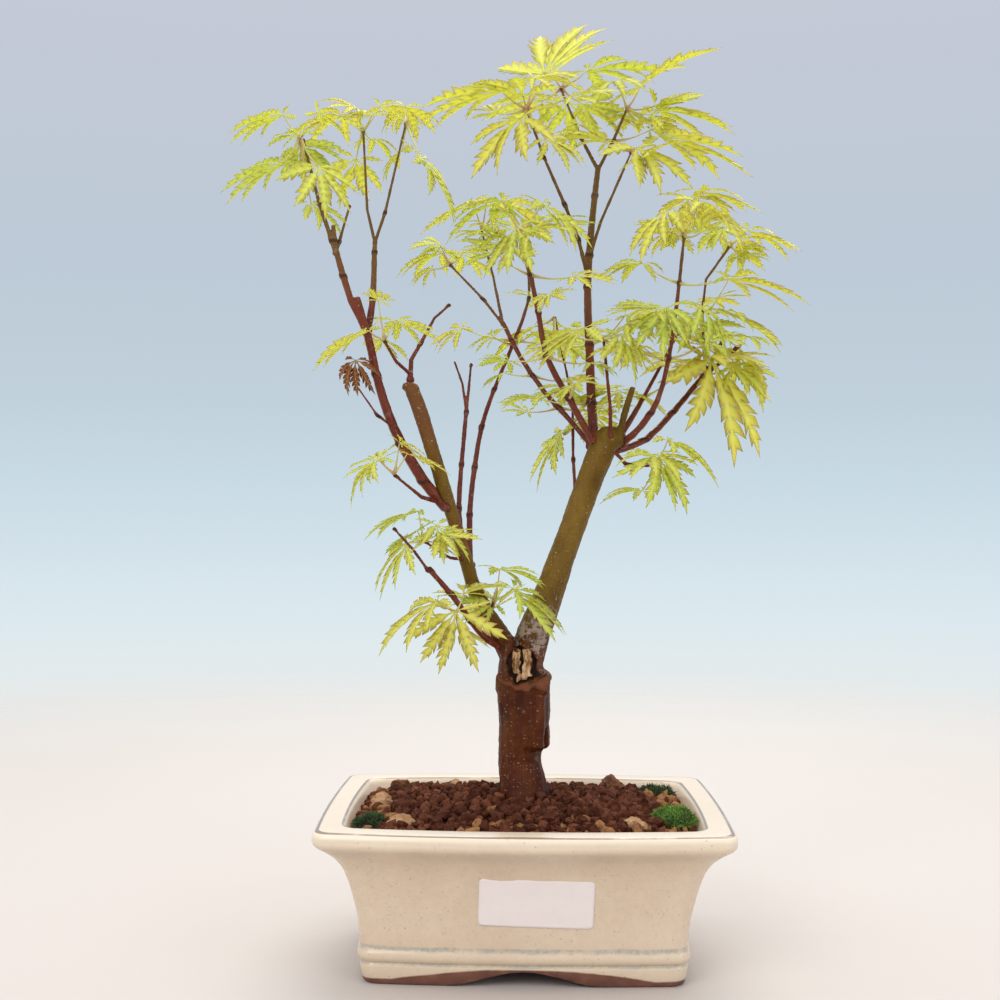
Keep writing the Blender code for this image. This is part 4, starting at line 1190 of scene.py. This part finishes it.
def leafTree():
    # hubs carry leaves; the edges between the other points become stalks
    inputs = {"Leaves": "NodeSocketCollection", "Leaf Material": "NodeSocketMaterial",
              "Stalk Material": "NodeSocketMaterial", "Stalk Sides": "NodeSocketInt"}
    grow = Growth("leavesOnHubs", inputs)
    source = grow.source.outputs["Geometry"]
    split = grow.node("GeometryNodeSeparateGeometry", {"domain": "POINT"},
                      {0: source, 1: grow.named("hub", "BOOLEAN")})
    blades = grow.node("GeometryNodeCollectionInfo", {}, {0: grow.given("Leaves"), 1: True, 2: True})
    turned = grow.node("FunctionNodeEulerToRotation", {}, {0: grow.named("turn", "FLOAT_VECTOR")})
    placed = grow.node("GeometryNodeInstanceOnPoints", {},
                       {"Points": split, "Instance": blades, "Pick Instance": True,
                        "Instance Index": grow.named("pick", "INT"), "Rotation": turned,
                        "Scale": grow.named("size")})
    leaves = grow.node("GeometryNodeSetMaterial", {}, {0: placed, "Material": grow.given("Leaf Material")})
    curve = grow.node("GeometryNodeMeshToCurve", {}, {0: split.node.outputs[1]})
    ring = grow.node("GeometryNodeCurvePrimitiveCircle", {}, {0: grow.given("Stalk Sides"), 4: 1.0})
    tube = grow.node("GeometryNodeCurveToMesh", {},
                     {0: curve, 1: ring, "Scale": grow.named("thick"), "Fill Caps": True})
    rounded = grow.node("GeometryNodeSetShadeSmooth", {}, {0: tube})
    stalks = grow.node("GeometryNodeSetMaterial", {},
                       {0: rounded, "Material": grow.given("Stalk Material")})
    real = grow.node("GeometryNodeRealizeInstances", {}, {0: grow.joined(leaves, stalks)})
    grow.tree.links.new(real, grow.end.inputs[0])
    return grow


def hubsOf(work):
    # a hub is a corner whose long edges fan out all round it, on the upper side of a blade
    hubs = []
    for vert in work.verts:
        rays = [edge.other_vert(vert).co - vert.co for edge in vert.link_edges]
        rays = [ray for ray in rays if ray.length > 5 * mm]
        up = sum((face.normal * face.calc_area() for face in vert.link_faces), Vector()).normalized()
        if len(rays) < 7 or up.z < 0.3:
            continue
        side = up.orthogonal().normalized()
        front = up.cross(side)
        angles = sorted(math.atan2(ray.dot(front), ray.dot(side)) for ray in rays)
        gaps = [after - before for before, after in zip(angles, angles[1:])]
        gaps.append(angles[0] + math.tau - angles[-1])
        if max(gaps) > math.radians(150):
            continue
        if any((vert.co - hub[0]).length < 3 * mm for hub in hubs):
            continue
        ahead = sum((ray * ray.length ** 3 for ray in rays), Vector()).normalized()
        hubs.append((vert.co.copy(), ahead, up, max(ray.length for ray in rays)))
    return sorted(hubs, key=lambda hub: (round(hub[0].z, 5), round(hub[0].x, 5)))


def budOf(work):
    # the bud is where the corners of the mesh crowd together, at the foot of the stalks
    reach = 2.5 * mm
    points = [vert.co.copy() for vert in work.verts]
    crowd = [sum((other - point).length < reach for other in points) for point in points]
    best = points[crowd.index(max(crowd))]
    near = [point for point in points if (point - best).length < reach]
    return sum(near, Vector()) / len(near)


crownShape = {
    "crownEdge": -12.0,           # the crown is the part to the right of this
    "crownLow": 246.0,            # pairs of leaves grow on the shoots above this
    "grow": 1.12,                 # a leaf's length, as a part of its CAD length
    "deadGrow": 0.95,             # the same for the dead leaf
    "fillerSize": (0.60, 1.0),    # one more leaf beside each, as a part of that leaf's size
    "fillerTurn": (30, 150),
    "pairStalk": (12.0, 25.0),
    "pairSize": (15.0, 26.0),
    "pairShare": 0.72,            # the part of the joints that carry a pair
    "tilt": (-20, 34),            # degrees that a loose leaf points down
    "stalk": (1.0, 0.48, 0.32, 0.28),    # stalk radius from the bud to the hub
    "stalkSteps": 7,
    "stalkSides": 5,
    "sag": -0.06,                 # how far a stalk bends down, as a part of its length
    "boxSlack": 6.0,              # loose leaves may pass the object's box by this
    "seed": 12,
}


def fitsBox(point):
    slack = crownShape["boxSlack"] * mm
    low, high = cadBox
    return all(low[i] - slack < point[i] < high[i] + slack for i in range(3))


class Foliage:
    # the points of one spray: stalk paths and leaf hubs, with what the tree needs to know
    def __init__(self):
        self.work = bmesh.new()
        layers = self.work.verts.layers
        self.hub = layers.bool.new("hub")
        self.turn = layers.float_vector.new("turn")
        self.pick = layers.int.new("pick")
        self.size = layers.float.new("size")
        self.thick = layers.float.new("thick")
        self.tint = layers.float.new("tint")

    def addStalk(self, start, end, bulge):
        steps = crownShape["stalkSteps"]
        last = None
        for i in range(steps + 1):
            share = i / steps
            point = start.lerp(end, share) + bulge * math.sin(math.pi * share)
            vert = self.work.verts.new(point)
            radii = crownShape["stalk"]
            place = share * (len(radii) - 1)
            index = min(int(place), len(radii) - 2)
            vert[self.thick] = (radii[index] + (radii[index + 1] - radii[index]) * (place - index)) * mm
            if last:
                self.work.edges.new((last, vert))
            last = vert

    def addLeaf(self, hub, ahead, up, length, pick, tint):
        side = up.cross(ahead).normalized()
        top = ahead.cross(side).normalized()
        facing = Matrix((ahead, side, top)).transposed()
        vert = self.work.verts.new(hub)
        vert[self.hub] = True
        vert[self.turn] = Vector(facing.to_euler("XYZ"))
        vert[self.pick] = pick
        vert[self.size] = length
        vert[self.tint] = min(1.0, max(0.0, tint))


def addLooseLeaf(spray, dice, start, arm, heading, size, tint):
    # one more leaf on its own stalk, if it stays inside the object's box
    level = Vector((heading.x, heading.y, 0.0)).normalized()
    fall = math.radians(dice.uniform(*crownShape["tilt"]))
    ahead = level * math.cos(fall) - Vector((0, 0, math.sin(fall)))
    up = Vector((dice.uniform(-0.5, 0.5), dice.uniform(-0.8, 0.3), 1.0))
    up = (up - ahead * up.dot(ahead)).normalized()
    hub = start + arm
    pick = dice.randrange(leafShape["shapes"])
    if fitsBox(hub) and fitsBox(hub + ahead * size):
        spray.addStalk(start, hub, Vector((0, 0, crownShape["sag"])) * arm.length)
        spray.addLeaf(hub, ahead, up, size, pick, tint)


def makeFoliage(grow, blades, leafMaterials, stalk):
    dice = random.Random(crownShape["seed"])
    growths = {}
    for name in sprays + ["leaf_dead"]:
        work = cadMesh(name)
        hubs = hubsOf(work)
        bud = budOf(work)
        work.free()
        spray = Foliage()
        dead = name == "leaf_dead"
        warm = dice.random()
        foot = bud - Vector((0, 0, 0.9 * mm))
        for hub, ahead, up, length in hubs:
            reach = hub - bud
            sideways = reach.cross(Vector((0, 0, 1))) * dice.uniform(-0.08, 0.08)
            spray.addStalk(foot, hub, Vector((0, 0, crownShape["sag"])) * reach.length + sideways)
            tint = 0.42 + (warm - 0.5) * 0.55 + dice.uniform(-0.25, 0.3)
            pick = dice.randrange(leafShape["stiff"] if ahead.z > 0.3 else leafShape["shapes"])
            if dead:
                spray.addLeaf(hub, ahead, up, length * crownShape["deadGrow"], leafShape["shapes"], tint)
                continue
            spray.addLeaf(hub, ahead, up, length * crownShape["grow"], pick, tint)
            swing = math.radians(dice.uniform(*crownShape["fillerTurn"])) * dice.choice((-1, 1))
            spin = Matrix.Rotation(swing, 3, "Z")
            arm = spin @ reach * dice.uniform(0.65, 1.05) + Vector((0, 0, dice.uniform(-14, 9) * mm))
            size = length * dice.uniform(*crownShape["fillerSize"])
            addLooseLeaf(spray, dice, foot, arm, spin @ ahead, size, tint + dice.uniform(-0.2, 0.2))
        growths[name] = (spray, bud)
    # pairs of leaves at most joints of the crown's shoots join the nearest spray
    pairs = 0
    for name in shoots:
        work = cadMesh(name)
        for spot in jointsOf(work):
            if spot.x < crownShape["crownEdge"] * mm or spot.z < crownShape["crownLow"] * mm:
                continue
            nearest = min(sprays, key=lambda spray: (growths[spray][1] - spot).length)
            turn = dice.uniform(0, math.tau)
            if dice.random() > crownShape["pairShare"]:
                continue
            for side in (0.0, math.pi):
                rise = dice.uniform(-0.2, 0.7)
                way = Vector((math.cos(turn + side), math.sin(turn + side), rise)).normalized()
                arm = way * dice.uniform(*crownShape["pairStalk"]) * mm
                size = dice.uniform(*crownShape["pairSize"]) * mm
                addLooseLeaf(growths[nearest][0], dice, spot, arm, way, size, dice.uniform(0.1, 0.85))
            pairs += 1
        work.free()
    for name, (spray, _) in growths.items():
        dead = name == "leaf_dead"
        look = leafMaterials["dead" if dead else "live"]
        piece = newPiece("dead_leaf" if dead else name.replace("spray_", "leaves_"), spray.work, look)
        piece.data.materials.clear()
        grow.growOn(piece, {"Leaves": blades, "Leaf Material": look, "Stalk Material": stalk,
                            "Stalk Sides": crownShape["stalkSides"]})
        settle(piece, "dead_leaf" if dead else "leaf", name)
    print("foliage:", len(growths), "sprays and", pairs, "pairs")


studio = {
    "cameraPlace": (-3.0, -667.0, 208.0),   # in millimetres
    "cameraYaw": -0.8,
    "cameraPitch": 0.35,                    # upwards
    "cameraRoll": 0.38,
    "lens": 50.94,
    "keyPower": 9.0,
    "fillPower": 4.0,
    "topPower": 8.0,
    "backPower": 9.0,
    "tableFade": (0.40, 1.30),              # the table melts into the backdrop between these radii
    # (sine of the height above the horizon, colour) of the backdrop
    "backdrop": ((-0.40, (0.95, 0.87, 0.81)), (-0.24, (0.90, 0.85, 0.80)), (-0.15, (0.83, 0.845, 0.82)),
                 (-0.07, (0.71, 0.81, 0.86)), (0.02, (0.58, 0.70, 0.78)), (0.08, (0.53, 0.63, 0.71)),
                 (0.16, (0.51, 0.59, 0.68)), (0.35, (0.555, 0.585, 0.67)), (0.60, (0.85, 0.86, 0.88)),
                 (1.0, (1.0, 1.0, 1.0))),
}


def makeCamera():
    data = bpy.data.cameras.new("camera")
    data.lens = studio["lens"]
    data.sensor_width = 36.0
    data.clip_start = 0.01
    camera = bpy.data.objects.new("camera", data)
    bpy.context.scene.collection.objects.link(camera)
    yaw = math.radians(studio["cameraYaw"])
    pitch = math.radians(studio["cameraPitch"])
    roll = math.radians(studio["cameraRoll"])
    forward = Vector((math.sin(yaw) * math.cos(pitch), math.cos(yaw) * math.cos(pitch), math.sin(pitch)))
    right = Vector((math.cos(yaw), -math.sin(yaw), 0.0))
    up = right.cross(forward)
    rolledRight = right * math.cos(roll) + up * math.sin(roll)
    rolledUp = up * math.cos(roll) - right * math.sin(roll)
    turn = Matrix((rolledRight, rolledUp, -forward)).transposed().to_4x4()
    camera.matrix_world = Matrix.Translation(Vector(studio["cameraPlace"]) * mm) @ turn
    bpy.context.scene.camera = camera


def softLight(name, place, target, size, power, colour):
    data = bpy.data.lights.new(name, "AREA")
    data.shape = "RECTANGLE"
    data.size, data.size_y = size
    data.energy = power
    data.color = colour
    lamp = bpy.data.objects.new(name, data)
    lamp.visible_camera = False
    lamp.location = place
    lamp.rotation_euler = (Vector(target) - Vector(place)).to_track_quat("-Z", "Y").to_euler()
    bpy.context.scene.collection.objects.link(lamp)


def makeStudio():
    # a wide pale disc for a table, which melts into the backdrop far behind
    work = bmesh.new()
    bmesh.ops.create_circle(work, cap_ends=True, segments=96, radius=studio["tableFade"][1])
    table = newPiece("table", work, floorMaterial())
    world = bpy.data.worlds.new("studio")
    bpy.context.scene.world = world
    world.use_nodes = True
    tree = world.node_tree
    tree.nodes.clear()
    coords = tree.nodes.new("ShaderNodeTexCoord")
    split = tree.nodes.new("ShaderNodeSeparateXYZ")
    height = tree.nodes.new("ShaderNodeMapRange")
    ramp = tree.nodes.new("ShaderNodeValToRGB")
    back = tree.nodes.new("ShaderNodeBackground")
    end = tree.nodes.new("ShaderNodeOutputWorld")
    height.inputs["From Min"].default_value = -1.0
    tree.links.new(coords.outputs["Generated"], split.inputs[0])
    tree.links.new(split.outputs["Z"], height.inputs["Value"])
    tree.links.new(height.outputs["Result"], ramp.inputs[0])
    tree.links.new(ramp.outputs[0], back.inputs["Color"])
    tree.links.new(back.outputs[0], end.inputs["Surface"])
    setStops(ramp.color_ramp, [(rise * 0.5 + 0.5, colour) for rise, colour in studio["backdrop"]])
    aim = (0.0, 0.0, 0.2)
    softLight("key", (-0.8, -1.2, 1.1), aim, (0.9, 0.9), studio["keyPower"], (1.0, 0.98, 0.95))
    softLight("fill", (1.2, -1.0, 0.7), aim, (1.0, 1.0), studio["fillPower"], (0.97, 0.98, 1.0))
    softLight("back", (0.2, 1.1, 1.2), (0.0, 0.0, 0.32), (1.0, 0.8), studio["backPower"], (1.0, 1.0, 0.97))
    softLight("top", (0.0, 0.2, 1.6), aim, (1.2, 1.0), studio["topPower"], (1.0, 1.0, 1.0))
    bpy.context.scene.view_settings.view_transform = "Standard"


makeCamera()
makeStudio()
print("studio ready")

potTree = BVHTree.FromBMesh(cadMesh("pot"))
makePot(glazeMaterial(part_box("pot"), potShape))
makeLabel(paperMaterial(), potTree)
for name in ("drain_screen_left", "drain_screen_right"):
    nodes[name].data.materials.clear()
    nodes[name].data.materials.append(screenMaterial())
print("pot ready")

scatter = scatterTree("scatterOverFaces")
makeSoil(soilMaterial(), scatter)
makeStones({"dark": stoneMaterial("darkStone", (0.07, 0.024, 0.014), (0.26, 0.11, 0.055)),
            "tan": stoneMaterial("tanStone", (0.26, 0.12, 0.05), (0.62, 0.38, 0.20))})
brightMoss = mossMaterial("brightMoss", (0.05, 0.13, 0.010), (0.16, 0.34, 0.03), (0.40, 0.56, 0.10))
darkMoss = mossMaterial("darkMoss", (0.015, 0.035, 0.008), (0.05, 0.10, 0.02), (0.12, 0.20, 0.05))
makeMoss({"bright": brightMoss, "dark": darkMoss}, scatter)
print("soil ready")

trunkTree = BVHTree.FromBMesh(cadMesh("trunk"))
makeTrunk(barkMaterial(trunkShape))
makeShoots(youngBarkMaterial(), trunkTree)
print("wood ready")

flat, hanging = leafShape["droop"]
bladeMeshes = []
for number in range(leafShape["shapes"]):
    droop = flat + (hanging - flat) * number / (leafShape["shapes"] - 1)
    bladeMeshes.append(leafBlade(leafShape["seed"] + number, droop, leafShape["fold"]))
bladeMeshes.append(leafBlade(leafShape["curledSeed"], *leafShape["curled"]))
blades = shelf("leafBlades", bladeMeshes)
liveTones = [(0.18, (0.93, 0.84, 0.20)), (0.45, (0.84, 0.85, 0.17)), (0.68, (0.70, 0.80, 0.16)),
             (0.90, (0.48, 0.66, 0.16))]
deadTones = [(0.2, (0.56, 0.21, 0.065)), (0.8, (0.36, 0.115, 0.035))]
livingLeaf = leafMaterial("livingLeaf", liveTones, (0.86, 0.46, 0.26), (0.95, 0.96, 0.24))
deadLeaf = leafMaterial("deadLeaf", deadTones, (0.30, 0.10, 0.04), (0.40, 0.16, 0.05))
makeFoliage(leafTree(), blades, {"live": livingLeaf, "dead": deadLeaf}, stalkMaterial())
clearShelf(blades)
print("crown ready")
